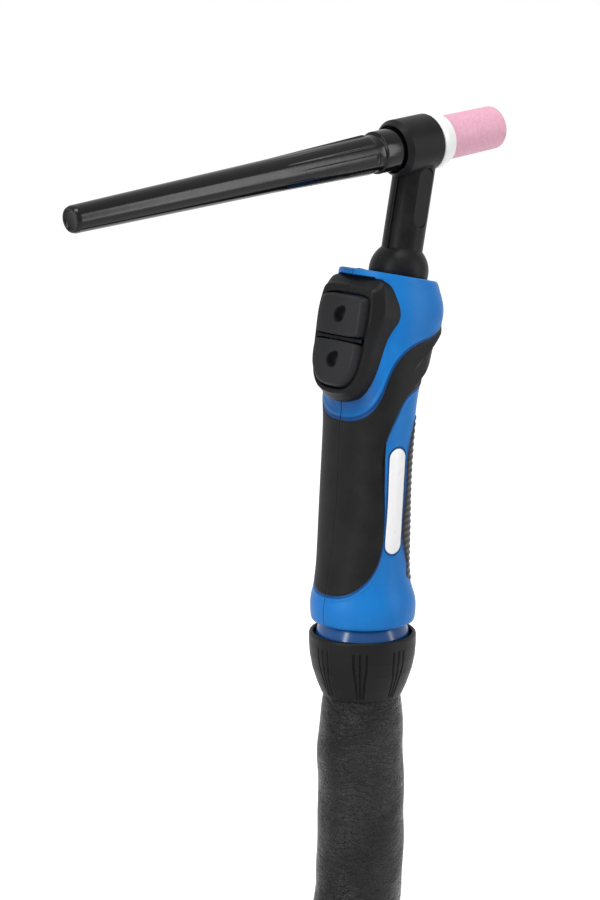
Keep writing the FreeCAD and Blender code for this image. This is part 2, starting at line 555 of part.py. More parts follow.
inside = boolean("Cut", "inside", inner_form, above_lid)
ball_seat = doc.addObject("Part::Sphere", "ball_seat")
bind(ball_seat, Radius="ball_radius + 0.05")
ball_seat.Placement = NECK
shell_open = boolean("Cut", "shell_open", handle_block, inside)
posts = [across(f"{name}_post", 2.9, -20, 20, place) for name, place in POSTS.items()]
post_pair = boolean("Fuse", "post_pair", *posts)
post_trim = boolean("Common", "post_trim", post_pair, under_form)
shell_posted = boolean("Fuse", "shell_posted", shell_open, post_trim)
screw_room, screw_solids = [], []
for name, place in POSTS.items():
    shank = across(f"{name}_shank", size("screw_radius"), SCREW_FOOT, SCREW_SEAT + 0.5, place)
    cap_head = across(f"{name}_head", size("screw_head_radius"), SCREW_SEAT, SCREW_TOP, place)
    slot = block(f"{name}_driver", (place[0] - 0.8, SCREW_TOP - 0.9, place[1] - 0.8),
                 (place[0] + 0.8, SCREW_TOP + 1, place[1] + 0.8))
    screw = boolean("Fuse", f"{name}_screw_solid", shank, cap_head)
    screw_solids.append(boolean("Cut", f"{name}_screw", screw, slot))
    screw_room += [across(f"{name}_shank_hole", size("screw_radius"), SCREW_FOOT, SCREW_SEAT + 0.5, place),
                   across(f"{name}_head_hole", size("screw_head_radius"), SCREW_SEAT, 30, place)]
screws = doc.addObject("Part::Compound", "screws")
screws.Links = screw_solids
keep("handle_screws", screws)
shell_room = boolean("Fuse", "shell_room", ball_seat, *screw_room)
shell_bored = boolean("Cut", "shell_bored", shell_posted, shell_room)
shell_less_grip = boolean("Cut", "shell_less_grip", shell_bored, grip_tool)
shell_less_pad = boolean("Cut", "shell_less_pad", shell_less_grip, rear_tool)
shell_less_label = boolean("Cut", "shell_less_label", shell_less_pad, label_tool)
shell_less_bezel = boolean("Cut", "shell_less_bezel", shell_less_label, bezel_zone)
for side, space in SIDES.items():
    keep(f"handle_shell_{side}", boolean("Common", f"shell_{side}", shell_less_bezel, space))
    keep(f"switch_bezel_{side}", boolean("Common", f"bezel_{side}", bezel_all, space))
    keep(f"grip_{side}", boolean("Common", f"grip_{side}", grip_skin, space))
    keep(f"rear_pad_{side}", boolean("Common", f"rear_{side}", rear_skin, space))


# Lead routes. A route is runs joined by tangent arcs, as large as the two runs at a corner allow.
def routed(points):
    """The wire of a route and its radii, each 0.45 of the shorter run over the tangent of half the turn."""
    edges, radii, start = [], [], points[0]
    for before, corner, after in zip(points, points[1:], points[2:]):
        back, ahead = (before - corner), (after - corner)
        reach = 0.45 * min(back.Length, ahead.Length)
        back.normalize()
        ahead.normalize()
        half_turn = (math.pi - back.getAngle(ahead)) / 2
        radius = reach / math.tan(half_turn)
        entry, leave = corner + back * reach, corner + ahead * reach
        toward = (back + ahead).normalize()
        middle = corner + toward * (radius / math.cos(half_turn) - radius)
        edges += [Part.makeLine(start, entry), Part.Arc(entry, middle, leave).toShape()]
        radii.append(radius)
        start = leave
    edges.append(Part.makeLine(start, points[-1]))
    return Part.Wire(edges), radii


def tube(label, wire, diameter):
    """A round solid along a wire, with its volume set against its section times its length."""
    first = wire.OrderedEdges[0]
    start = first.valueAt(first.FirstParameter)
    direction = first.tangentAt(first.FirstParameter)
    ring_edge = Part.Circle(start, direction, diameter / 2).toShape()
    thing = doc.addObject("Part::Feature", label)
    thing.Shape = wire.makePipeShell([Part.Wire([ring_edge])], True, False)
    share = thing.Shape.Volume / (math.pi * diameter ** 2 / 4 * wire.Length)
    print(label, "length", round(wire.Length, 1), "volume against section times length", round(share, 4))
    return thing


def lay(label, points, diameter):
    wire, radii = routed([Vector(*p) for p in points])
    print(label, "radii", [round(r) for r in radii])
    return keep(label, tube(f"{label}_tube", wire, diameter))


SLEEVE = size("sleeve_diameter")
CABLE = size("cable_diameter")
CONTROL = size("control_diameter")

# Crimp ferrule and the cable inside the handle, down to the middle of the knuckle ball
TUBE_END = NECK.multVec(Vector(0, 0, TUBE_BOTTOM))
FERRULE_LENGTH = 16.0
ferrule_frame = NECK.multiply(Placement(Vector(0, 0, TUBE_BOTTOM - FERRULE_LENGTH + 6), Rotation()))
ferrule_solid = rod("ferrule_solid", "cable_diameter - 5.4", FERRULE_LENGTH, ferrule_frame)
ferrule_seat = rod("ferrule_seat", "neck_tube_radius", 6.5,
                   NECK.multiply(Placement(Vector(0, 0, TUBE_BOTTOM), Rotation())))
keep("crimp_ferrule", boolean("Cut", "crimp_ferrule", ferrule_solid, ferrule_seat))
cable_top = ferrule_frame.Base
cable_lean = ferrule_frame.multVec(Vector(0, 0, -16))
lay("handle_cable", [tuple(cable_top), tuple(cable_lean), (0.0, 0.0, -30.0), (0.0, 0.0, -66.0)], CABLE)

# Knuckle ball: a hard ring held by its spigot between the shell halves
ball_ring = turned("ball_ring", [
    ("ball_bore", "0 - 76.5"), ("12.6", "0 - 76.5"), ("17", "0 - 70"), ("17", "0 - handle_base - 0.1"),
    ("spigot_radius", "0 - handle_base - 0.1"), ("spigot_radius", "0 - spigot_top"),
    ("ball_bore", "0 - spigot_top")], upright=True)
ball_round = doc.addObject("Part::Sphere", "ball_round")
bind(ball_round, Radius="knuckle_ball_radius")
ball_round.Placement = Placement(Vector(0, 0, -size("knuckle_z")), Rotation())
spigot_space = block("spigot_space", (-20, -20, -size("handle_base") - 0.1), (20, 20, -50))
ball_room = boolean("Fuse", "ball_room", ball_round, spigot_space)
keep("knuckle_ball", boolean("Common", "knuckle_ball", ball_ring, ball_room))

# Knuckle cup: a fluted socket that the ball snaps into, in groups of three narrow flutes
FLUTE_ARC, FLUTE_MIDDLE, FLUTE_GROUPS, FLUTE_STEP = 39.0, -68.6, 8, 6.5
cup_turned = turned("cup_turned", [
    ("knuckle_bore", "0 - knuckle_bottom_z"), ("knuckle_bore", "0 - knuckle_rim_z"),
    ("knuckle_rim_radius - 0.5", "0 - knuckle_rim_z"), ("knuckle_rim_radius", "0 - knuckle_rim_z - 0.5"),
    ("knuckle_rim_radius", "0 - 67"), ("17.9", "0 - 71"), ("17.05", "0 - 75.5"), ("15.4", "0 - 80.6"),
    ("knuckle_bottom_radius + 0.5", "0 - 84.4"), ("knuckle_bottom_radius", "0 - knuckle_bottom_z")],
    upright=True)
doc.recompute()
flutes = []
for i in (-1, 0, 1):
    flute = cup_turned.newObject("PartDesign::SubtractiveTorus", f"flute_{i + 2}")
    flute.Radius1 = FLUTE_ARC
    flute.Radius2 = size("flute_radius")
    flute.Angle3 = 24.0
    spin = Rotation(Vector(0, 0, 1), i * FLUTE_STEP)
    centre = Vector(size("knuckle_rim_radius") - FLUTE_ARC, 0, FLUTE_MIDDLE)
    flute.Placement = Placement(Vector(), spin).multiply(Placement(centre, Rotation(Vector(1, 0, 0), -90)))
    flutes.append(flute)
doc.recompute()
flute_ring = cup_turned.newObject("PartDesign::PolarPattern", "flute_groups")
flute_ring.Originals = flutes
flute_ring.Axis = (plane_of(cup_turned, "Z_Axis"), [""])
flute_ring.Angle = 360.0
flute_ring.Occurrences = FLUTE_GROUPS
cup_turned.Tip = flute_ring
socket = doc.addObject("Part::Sphere", "socket")
bind(socket, Radius="knuckle_ball_radius + knuckle_clearance")
socket.Placement = Placement(Vector(0, 0, -size("knuckle_z")), Rotation())
clamp_seat = rod("clamp_seat", "knuckle_bore + 1.6", 4.0,
                 Placement(Vector(0, 0, -size("knuckle_bottom_z") - 0.5), Rotation()))
cup_room = boolean("Fuse", "cup_room", socket, clamp_seat)
keep("knuckle_cup", boolean("Cut", "knuckle_cup", cup_turned, cup_room))

# Sleeve clamp: a ring that holds the leather in the bottom of the knuckle cup
keep("sleeve_clamp", turned("clamp", [
    ("knuckle_bore + 0.1", "0 - knuckle_bottom_z"), ("knuckle_bore + 0.1", "0 - knuckle_bottom_z + 3.4"),
    ("knuckle_bore + 1.5", "0 - knuckle_bottom_z + 3.4"), ("knuckle_bore + 1.5", "0 - knuckle_bottom_z")],
    upright=True))

# Leather sleeve: gathered into the knuckle, straight down, then round in one wide loop on the floor
SLEEVE_RUN, SLEEVE_TURN, SLEEVE_RUNS = 89.0, 29.5, 6
sleeve_top = -size("knuckle_bottom_z")
sleeve_route = [(0.0, 0.0, sleeve_top), (0.0, 0.0, sleeve_top - SLEEVE_RUN)]
for steep in (60.0, 30.0):
    x, y, z = sleeve_route[-1]
    sleeve_route.append((x - SLEEVE_RUN * math.cos(math.radians(steep)), 0.0,
                         z - SLEEVE_RUN * math.sin(math.radians(steep))))
for i in range(SLEEVE_RUNS):
    heading = math.radians(180.0 - SLEEVE_TURN * i)
    x, y, z = sleeve_route[-1]
    sleeve_route.append((x + SLEEVE_RUN * math.cos(heading), y + SLEEVE_RUN * math.sin(heading), z))
sleeve_heading = 180.0 - SLEEVE_TURN * (SLEEVE_RUNS - 1)
FLOOR = sleeve_route[-1][2] - SLEEVE / 2
full_top = sleeve_top - size("sleeve_gathered")
sleeve_wire, sleeve_radii = routed([Vector(*p) for p in sleeve_route])
hung_wire, hung_radii = routed([Vector(0, 0, full_top), *(Vector(*p) for p in sleeve_route[1:])])
print("leather_sleeve length", round(sleeve_wire.Length, 1), "radii", [round(r) for r in sleeve_radii])
gathers = doc.addObject("Part::Cone", "gathers")
gathers.Radius1 = SLEEVE / 2
gathers.Radius2 = size("knuckle_bottom_radius") - 0.3
gathers.Height = size("sleeve_gathered")
gathers.Placement = Placement(Vector(0, 0, full_top), Rotation())
keep("leather_sleeve", boolean("Fuse", "sleeve", gathers, tube("sleeve_tube", hung_wire, SLEEVE)))


def heading_frame(spot, heading):
    """A frame on the floor whose X runs along a heading in degrees."""
    return Placement(Vector(*spot), Rotation(Vector(0, 0, 1), heading))


# Sleeve cuff: a tapered rubber end where the cable leaves the leather
CUFF_LENGTH = 34.0
cuff = turned("cuff", [
    ("0", "0"), ("0", "14.6"), ("1", "15"), ("5", "15"), ("6", "14"), ("26", "8.2"), ("33", "7.6"),
    ("34", "7"), ("34", "0")])
cuff.Placement = heading_frame(sleeve_route[-1], sleeve_heading)
keep("sleeve_cuff", cuff)
cable_start = cuff.Placement.multVec(Vector(CUFF_LENGTH, 0, 0))
cable_ahead = cuff.Placement.multVec(Vector(CUFF_LENGTH + 20.0, 0, 0))

# Coil of power cable: half turns in two layers, in on the lower, up a layer, and out on the upper one
STRAP = 1.0
COIL_X, COIL_Y = -166.0, 200.0
COIL_RADIUS, COIL_STEP, LOWER_HALVES, UPPER_HALVES = 93.3, 6.3, 6, 5
COIL_LOW = FLOOR + STRAP + CABLE / 2
COIL_HIGH = COIL_LOW + 12.6


def coil_wire():
    """Half circles on alternate centres, so that each half turn is a step smaller than the last."""
    right = COIL_X + COIL_RADIUS
    edges = [Part.makeLine(Vector(right, COIL_Y + CABLE, COIL_LOW), Vector(right, COIL_Y, COIL_LOW))]
    spot, side = Vector(right, COIL_Y, COIL_LOW), -1
    radii = [COIL_RADIUS - COIL_STEP * k for k in range(LOWER_HALVES)]
    inner = radii[-1] - COIL_STEP
    radii += [inner] + [inner + COIL_STEP * (k + 1) for k in range(UPPER_HALVES)]
    for k, radius in enumerate(radii):
        high = COIL_HIGH if k >= LOWER_HALVES else COIL_LOW
        across_x = spot.x + side * 2 * radius
        end = Vector(across_x, COIL_Y, high)
        middle = Vector((spot.x + across_x) / 2, COIL_Y + side * radius, (spot.z + high) / 2)
        edges.append(Part.Arc(spot, middle, end).toShape())
        spot, side = end, -side
    edges.append(Part.makeLine(spot, Vector(spot.x, COIL_Y - CABLE, spot.z)))
    return Part.Wire(edges)


coil_path = coil_wire()
coil_spots = coil_path.discretize(Distance=6.0)
least = min((coil_spots[i] - coil_spots[j]).Length
            for i in range(len(coil_spots)) for j in range(i + 8, len(coil_spots)))
print("coil length", round(coil_path.Length), "least gap to itself", round(least - CABLE, 2))
keep("power_cable_coil", tube("coil_tube", coil_path, CABLE))
coil_in, coil_out = coil_spots[0], coil_spots[-1]

# Two straps that tie the coil, flat bands round the whole bundle
STRAP_WIDTH = 16.0
strap_solids = []
for name, side, near, far in (("far", 1, 53.4, 93.8), ("near", -1, 48.2, 99.8)):
    y_low, y_high = sorted((COIL_Y + side * near, COIL_Y + side * far))
    low, high = FLOOR + STRAP, COIL_HIGH + CABLE / 2 + 0.05
    band = block(f"{name}_band", (COIL_X - STRAP_WIDTH / 2, y_low - STRAP, low - STRAP),
                 (COIL_X + STRAP_WIDTH / 2, y_high + STRAP, high + STRAP))
    room = block(f"{name}_room", (COIL_X - STRAP_WIDTH, y_low, low), (COIL_X + STRAP_WIDTH, y_high, high))
    strap_solids.append(boolean("Cut", f"{name}_strap", band, room))
straps = doc.addObject("Part::Compound", "straps")
straps.Links = strap_solids
keep("coil_straps", straps)

# Power cable from the cuff to the coil
lay("power_cable", [tuple(cable_start), tuple(cable_ahead), (-140.0, 378.0, FLOOR + 8.0),
                    (-110.0, 369.5, FLOOR + 6.2), (-86.2, 343.7, FLOOR + 6.2), (coil_in.x, 300.0, COIL_LOW),
                    tuple(coil_in)], CABLE)

# Power cable from the coil to the splitter
PLUG_LEVEL = FLOOR + 14.0
TAIL_END = (10.0, 74.0, PLUG_LEVEL)
tail_before = (-28.0, 82.0, FLOOR + 12.5)
lay("power_cable_tail", [tuple(coil_out), (coil_out.x, 150.0, FLOOR + 17.5), (-60.0, 108.0, FLOOR + 12.0),
                         tail_before, TAIL_END], CABLE)
PLUG_HEADING = math.degrees(math.atan2(TAIL_END[1] - tail_before[1], TAIL_END[0] - tail_before[0]))
plug_frame = heading_frame(TAIL_END, PLUG_HEADING)

# Splitter: the moulded boot where the control lead leaves the power cable
OUTLET_TURN, OUTLET_LENGTH = 25.0, 22.0
splitter_body = turned("splitter_body", [
    ("0", "0"), ("0", "7"), ("3", "7.4"), ("14", "9.6"), ("30", "9.6"), ("36", "8.4"), ("36", "0")])
splitter_body.Placement = plug_frame
outlet_frame = plug_frame.multiply(heading_frame((14.0, 6.0, 0.0), OUTLET_TURN))
outlet = doc.addObject("Part::Cone", "outlet")
outlet.Radius1, outlet.Radius2, outlet.Height = 5.0, 3.6, OUTLET_LENGTH
outlet.Placement = outlet_frame.multiply(Placement(Vector(), Rotation(Vector(0, 1, 0), 90)))
keep("cable_splitter", boolean("Fuse", "splitter", splitter_body, outlet))

# Power plug: rubber boot over a brass bayonet plug. Its pin has a cam near the root and, past a groove, a
# plain end that leads into the socket.
boot = turned("boot", [
    ("36", "0"), ("36", "9.5"), ("40", "11.5"), ("52", "12.6"), ("80", "13.6"), ("94", "14"), ("97", "14"),
    ("98", "13.4"), ("98", "0")])
boot.Placement = plug_frame
keep("plug_boot", boot)
pin_body = turned("pin_body", [
    ("98", "0"), ("98", "10.5"), ("102", "10.5"), ("102", "9"), ("104", "9"), ("104", "6.5"),
    ("116.5", "6.5"), ("116.5", "6"), ("118", "6"), ("118", "6.5"), ("130", "6.5"), ("131", "5.5"),
    ("131", "2"), ("99", "2"), ("99", "0")])
pin_body.Placement = plug_frame
cam = block("cam", (107.0, -2.0, 5.5), (114.0, 2.0, 8.4), plug_frame)
keep("plug_pin", boolean("Fuse", "plug_pin", pin_body, cam))

# Control lead, loose on the floor, to its own small round plug
lead_exit = outlet_frame.multVec(Vector(OUTLET_LENGTH, 0, 0))
lead_ahead = outlet_frame.multVec(Vector(OUTLET_LENGTH + 20.0, 0, -1.5))
CONTROL_END = (-14.0, 180.0, FLOOR + 7.0)
control_before = (18.0, 184.0, FLOOR + 3.6)
lay("control_lead", [tuple(lead_exit), tuple(lead_ahead), (91.0, 99.0, FLOOR + 6.0),
                     (101.0, 124.0, FLOOR + 2.7), (94.0, 152.0, FLOOR + 2.5), (74.0, 173.0, FLOOR + 2.5),
                     (47.0, 184.0, FLOOR + 2.5), control_before, CONTROL_END], CONTROL)
control_frame = heading_frame(CONTROL_END, math.degrees(
    math.atan2(CONTROL_END[1] - control_before[1], CONTROL_END[0] - control_before[0])))
control_body = turned("control_body", [
    ("0", "0"), ("0", "3.4"), ("2", "4"), ("9", "4.6"), ("10", "6.5"), ("24", "6.5"), ("24", "7"),
    ("33", "7"), ("33", "5.8"), ("27", "5.8"), ("27", "0")])
control_body.Placement = control_frame
contacts = []
for i in range(5):
    angle = 2 * math.pi * i / 5
    contact = doc.addObject("Part::Cylinder", "contact")
    contact.Radius, contact.Height = 0.6, 6.5
    contact.Placement = control_frame.multiply(Placement(
        Vector(26.0, 3.2 * math.cos(angle), 3.2 * math.sin(angle)), Rotation(Vector(0, 1, 0), 90)))
    contacts.append(contact)
keep("control_plug", boolean("Fuse", "control_plug", control_body, *contacts))

# Every object is checked before anything is written
doc.recompute()
for thing in doc.Objects:
    if "Invalid" in thing.State or "Error" in thing.State:
        raise RuntimeError(f"{thing.Name} failed: {thing.State}")
for label, thing in parts.items():
    shape = thing.Shape
    if shape.isNull() or not shape.isValid() or shape.Volume < 1.0:
        raise RuntimeError(f"{label} has no sound shape")
    print(label, "solids", len(shape.Solids), "volume", round(shape.Volume, 1))
for label, thing in parts.items():
    thing.Shape.exportStep(f"parts/{label}.step")
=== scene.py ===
import math

import bmesh
import bpy
import numpy as np
from mathutils import Matrix, Vector


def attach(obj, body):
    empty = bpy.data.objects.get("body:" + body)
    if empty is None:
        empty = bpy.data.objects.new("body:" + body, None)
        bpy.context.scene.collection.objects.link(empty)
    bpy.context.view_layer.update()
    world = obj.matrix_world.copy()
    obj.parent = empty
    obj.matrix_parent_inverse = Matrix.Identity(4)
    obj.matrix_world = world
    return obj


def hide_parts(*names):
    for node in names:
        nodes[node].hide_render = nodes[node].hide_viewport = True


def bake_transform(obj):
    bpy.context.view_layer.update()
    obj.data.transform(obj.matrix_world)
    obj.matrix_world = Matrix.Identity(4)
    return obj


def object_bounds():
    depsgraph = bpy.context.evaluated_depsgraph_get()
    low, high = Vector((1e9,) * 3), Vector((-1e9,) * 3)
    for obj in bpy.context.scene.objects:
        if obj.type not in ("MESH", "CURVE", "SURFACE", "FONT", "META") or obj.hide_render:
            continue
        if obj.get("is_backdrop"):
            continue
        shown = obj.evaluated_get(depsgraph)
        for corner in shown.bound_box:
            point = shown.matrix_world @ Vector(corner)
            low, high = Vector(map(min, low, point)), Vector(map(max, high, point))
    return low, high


# A small air-cooled TIG torch, held upright by its handle with its lead hanging to the floor. The packed
# model is the frame that every piece below sits on. Shapes are worked out in millimetres.
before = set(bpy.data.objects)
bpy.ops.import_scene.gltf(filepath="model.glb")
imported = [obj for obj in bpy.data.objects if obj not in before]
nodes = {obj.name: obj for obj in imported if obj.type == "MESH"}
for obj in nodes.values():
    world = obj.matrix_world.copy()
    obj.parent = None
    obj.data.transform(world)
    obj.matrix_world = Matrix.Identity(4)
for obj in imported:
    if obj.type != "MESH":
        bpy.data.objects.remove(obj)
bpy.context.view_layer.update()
MM = 0.001

# Camera: level with the torch's head, from the button side and to the torch's right, far enough back
# that the handle is hardly foreshortened.
turn, lift, roll = math.radians(-41.36), math.radians(11.74), math.radians(0.41)
level = Vector((math.cos(turn), math.sin(turn), 0.0))
back = Vector((math.sin(turn) * math.cos(lift), -math.cos(turn) * math.cos(lift), math.sin(lift)))
upright = back.cross(level)
sideways = level * math.cos(roll) + upright * math.sin(roll)
upward = upright * math.cos(roll) - level * math.sin(roll)
camera_place = (-0.5459, -0.5873, 0.1657)
focal_length = 97.88
lens = bpy.data.cameras.new("camera")
lens.lens = focal_length
camera = bpy.data.objects.new("camera", lens)
axes = Matrix((sideways, upward, back)).transposed().to_4x4()
camera.matrix_world = Matrix.Translation(camera_place) @ axes
bpy.context.collection.objects.link(camera)
bpy.context.scene.camera = camera
bpy.context.scene.view_settings.view_transform = "Standard"


class Signal:
    """What a node gives out. Sums and products of signals add Math nodes, so a pattern reads as a formula."""

    def __init__(self, finish, socket):
        self.finish, self.socket = finish, socket

    def math(self, operation, first, second=0.0):
        return self.finish.node("ShaderNodeMath", {"operation": operation}, {0: first, 1: second})

    def __add__(self, other):
        return self.math("ADD", self, other)

    def __sub__(self, other):
        return self.math("SUBTRACT", self, other)

    def __rsub__(self, other):
        return self.math("SUBTRACT", other, self)

    def __mul__(self, other):
        return self.math("MULTIPLY", self, other)

    def __abs__(self):
        return self.math("ABSOLUTE", self)

    def between(self, low, high):
        """0 below low, 1 above high and a smooth rise from one to the other."""
        return self.finish.node("ShaderNodeMapRange", {"interpolation_type": "SMOOTHSTEP"},
                                {"Value": self, "From Min": low, "From Max": high})

    __radd__, __rmul__ = __add__, __mul__


class Finish:
    """A surface finish. Its shader starts from plain levels, and one method adds any other node."""

    def __init__(self, name, colour, roughness, levels=()):
        self.material = bpy.data.materials.new(name)
        self.material.use_nodes = True
        self.tree = self.material.node_tree
        self.shader = self.tree.nodes["Principled BSDF"]
        self.set("Base Color", (*colour, 1.0))
        self.set("Roughness", roughness)
        for socket, value in dict(levels).items():
            self.set(socket, value)

    def put(self, socket, value):
        if isinstance(value, Signal):
            self.tree.links.new(value.socket, socket)
        else:
            socket.default_value = value

    def set(self, socket, value):
        self.put(self.shader.inputs[socket], value)

    def node(self, kind, settings=(), inputs=(), output=0):
        made = self.tree.nodes.new(kind)
        for key, value in dict(settings).items():
            if key == "stops":
                for place, colour in value[1:-1]:
                    made.color_ramp.elements.new(place).color = (*colour, 1.0)
                for end, (place, colour) in ((0, value[0]), (-1, value[-1])):
                    made.color_ramp.elements[end].position = place
                    made.color_ramp.elements[end].color = (*colour, 1.0)
            else:
                setattr(made, key, value)
        for key, value in dict(inputs).items():
            self.put(made.inputs[key], value)
        return Signal(self, made.outputs[output])

    def place(self):
        return self.node("ShaderNodeTexCoord", output="Object")

    def part(self, axis):
        """One coordinate of the place on the object, in metres."""
        return self.node("ShaderNodeSeparateXYZ", (), {0: self.place()}, output=axis)

    def grain(self, size_mm, detail=2.0, roughness=0.5, stretch=(1.0, 1.0, 1.0)):
        """Noise, 0 to 1, with lumps of about that size; stretch draws it out along an axis."""
        mapped = self.node("ShaderNodeMapping", (), {
            "Vector": self.place(), "Scale": [1.0 / s for s in stretch]})
        return self.node("ShaderNodeTexNoise", (), {
            "Vector": mapped, "Scale": 1000.0 / size_mm, "Detail": detail, "Roughness": roughness}, output=0)

    def shade(self, mask, plain, other):
        """The first colour where the mask is 0 and the second where it is 1."""
        return self.node("ShaderNodeMix", {"data_type": "RGBA"}, {
            0: mask, 6: plain if isinstance(plain, Signal) else (*plain, 1.0),
            7: other if isinstance(other, Signal) else (*other, 1.0)}, output=2)

    def relief(self, height):
        """Raises the surface by a height in millimetres."""
        self.set("Normal", self.node("ShaderNodeBump", (), {
            "Strength": 1.0, "Distance": MM, "Height": height}))

    def seam(self):
        """1 on the parting line of the moulds, which is the object's middle plane, and 0 away from it."""
        return 1.0 - abs(self.part("Y")).between(0.00008, 0.00024)

    def stored(self, name):
        """A value that the mesh carries at each of its corners."""
        return self.node("ShaderNodeAttribute", {"attribute_name": name}, output="Fac")


def dress(name, finish):
    """Gives a CAD node its finish."""
    nodes[name].data.materials.clear()
    nodes[name].data.materials.append(finish.material)


# Power cable: a rubber-covered copper cable that brings current and gas, about 12 mm thick. It leaves the
# leather at the cuff, is wound into a neat coil of three turns in each of two layers, and runs to the plug.
FLOOR = -310.583
CABLE = 12.0
COIL_X, COIL_Y, COIL_RADIUS, COIL_STEP = -166.0, 200.0, 93.3, 6.3
COIL_LOW = FLOOR + 1.0 + CABLE / 2
COIL_HIGH = COIL_LOW + 12.6
LOWER_HALVES, HALVES, STEPS = 6, 12, 14


def coil_points():
    """Half turns, each a step smaller than the last, then growing again one layer up. Within half turn k the
    angle runs evenly through 180 degrees about a centre midway between its ends."""
    k = np.arange(HALVES)
    radii = COIL_RADIUS - COIL_STEP * np.minimum(k, LOWER_HALVES)
    radii = radii + COIL_STEP * np.maximum(k - LOWER_HALVES, 0)
    ends = COIL_X + COIL_RADIUS + np.concatenate([[0.0], np.cumsum(np.where(k % 2 == 0, -2.0, 2.0) * radii)])
    centres = (ends[:-1] + ends[1:]) / 2
    heights = np.where(k >= LOWER_HALVES, COIL_HIGH, COIL_LOW)
    before = np.concatenate([[COIL_LOW], heights[:-1]])
    share = (np.arange(STEPS) + 0.5) / STEPS
    angle = math.pi * (k[:, None] + share[None, :])
    reach = radii[:, None] / math.cos(math.pi / STEPS / 2)
    z = before[:, None] + (heights - before)[:, None] * share[None, :]
    x, y = centres[:, None] + reach * np.cos(angle), COIL_Y - reach * np.sin(angle)
    return np.stack([x, y, z], -1).reshape(-1, 3)


turns = coil_points()
COIL_SIDE = COIL_X + COIL_RADIUS
CUFF_EXIT = (-190.72, 353.72, -295.583)
cable_route = np.concatenate([
    [CUFF_EXIT, (-173.8, 364.5, -295.583), (-140.0, 378.0, FLOOR + 8.0), (-110.0, 369.5, FLOOR + 6.2),
     (-86.2, 343.7, FLOOR + 6.2), (COIL_SIDE, 300.0, COIL_LOW), (COIL_SIDE, COIL_Y + CABLE, COIL_LOW)],
    turns,
    [(COIL_SIDE, COIL_Y - CABLE, COIL_HIGH), (COIL_SIDE, 150.0, FLOOR + 17.5), (-60.0, 108.0, FLOOR + 12.0),
     (-28.0, 82.0, FLOOR + 12.5), (10.0, 74.0, FLOOR + 14.0)]])


def laid(name, route, diameter=None):
    """A smooth curve that the points of a route steer, with a round section if it has a diameter."""
    curve = bpy.data.curves.new(name, "CURVE")
    curve.dimensions = "3D"
    spline = curve.splines.new("NURBS")
    spline.points.add(len(route) - 1)
    spline.points.foreach_set("co", np.column_stack([np.asarray(route) * MM, np.ones(len(route))]).ravel())
    spline.order_u = 3
    spline.use_endpoint_u = True
    spline.resolution_u = 6
    if diameter:
        curve.bevel_depth = diameter / 2 * MM
        curve.bevel_resolution = 5
        curve.use_fill_caps = True
    piece = bpy.data.objects.new(name, curve)
    bpy.context.collection.objects.link(piece)
    return piece


cable_rubber = Finish("cable rubber", (0.013, 0.013, 0.014), 0.42, {"Specular IOR Level": 0.22})
scuffs = cable_rubber.grain(6.0, 4.0, 0.6).between(0.5, 0.75)
cable_rubber.set("Roughness", 0.4 + 0.2 * scuffs)
cable_rubber.set("Base Color", cable_rubber.shade(scuffs, (0.012, 0.012, 0.013), (0.02, 0.02, 0.021)))
cable_rubber.relief(0.02 * cable_rubber.grain(0.5, 3.0))
power = laid("power_cable_line", cable_route, CABLE)
power.data.materials.append(cable_rubber.material)
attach(power, "torch")
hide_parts("power_cable", "power_cable_coil", "power_cable_tail")
dress("handle_cable", cable_rubber)

# Cable ends: the boot of the splitter and of the plug are moulded rubber, the plug's pin is turned brass,
# and two woven hook-and-loop straps keep the coil together.
moulded_rubber = Finish("moulded rubber", (0.014, 0.014, 0.015), 0.5, {"Specular IOR Level": 0.2})
moulded_rubber.relief(0.03 * moulded_rubber.grain(0.35, 3.0))
for name in ("sleeve_cuff", "cable_splitter", "plug_boot"):
    dress(name, moulded_rubber)
turned_brass = Finish("turned brass", (0.78, 0.57, 0.24), 0.28, {"Metallic": 1.0})
turned_brass.set("Roughness", 0.2 + 0.2 * turned_brass.grain(0.6, 3.0, 0.6, (1.0, 8.0, 1.0)))
for name in ("plug_pin", "torch_head", "collet_body"):
    dress(name, turned_brass)
woven = Finish("woven strap", (0.02, 0.02, 0.022), 0.85)
woven.relief(0.2 * woven.node("ShaderNodeTexWave", {"bands_direction": "DIAGONAL"}, {
    "Vector": woven.place(), "Scale": 450.0}))
dress("coil_straps", woven)

# Control lead: a thin five-core lead from the buttons. It leaves the power cable at the splitter and lies
# loose on the floor, with its own small round plug.
control_route = [(46.36, 81.98, -296.583), (65.84, 86.51, -298.083), (91.0, 99.0, FLOOR + 6.0),
                 (101.0, 124.0, FLOOR + 2.7), (94.0, 152.0, FLOOR + 2.5), (74.0, 173.0, FLOOR + 2.5),
                 (47.0, 184.0, FLOOR + 2.5), (18.0, 184.0, FLOOR + 3.6), (-14.0, 180.0, FLOOR + 7.0)]
control = laid("control_lead_line", control_route, 5.0)
control.data.materials.append(cable_rubber.material)
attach(control, "torch")
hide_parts("control_lead")
control_shell = Finish("control plug moulding", (0.022, 0.022, 0.024), 0.3)
control_shell.relief(0.01 * control_shell.grain(0.5))
dress("control_plug", control_shell)


# Leather sleeve: a sewn tube of soft black grain leather over the cable, gathered into the knuckle at its
# top. It's slack, so it carries soft dents and a mass of fine creases that run mostly round it.
sleeve_route = [(0.0, 0.0, -85.0), (0.0, 0.0, -129.5), (0.0, 0.0, -174.0), (-44.5, 0.0, -251.077),
                (-121.577, 0.0, -295.577), (-210.577, 0.0, -295.577), (-288.039, 43.825, -295.577),
                (-333.878, 120.11, -295.577), (-336.208, 209.08, -295.577), (-294.423, 287.66, -295.577),
                (-219.361, 335.48, -295.577)]
sleeve_line = laid("sleeve_line", sleeve_route)


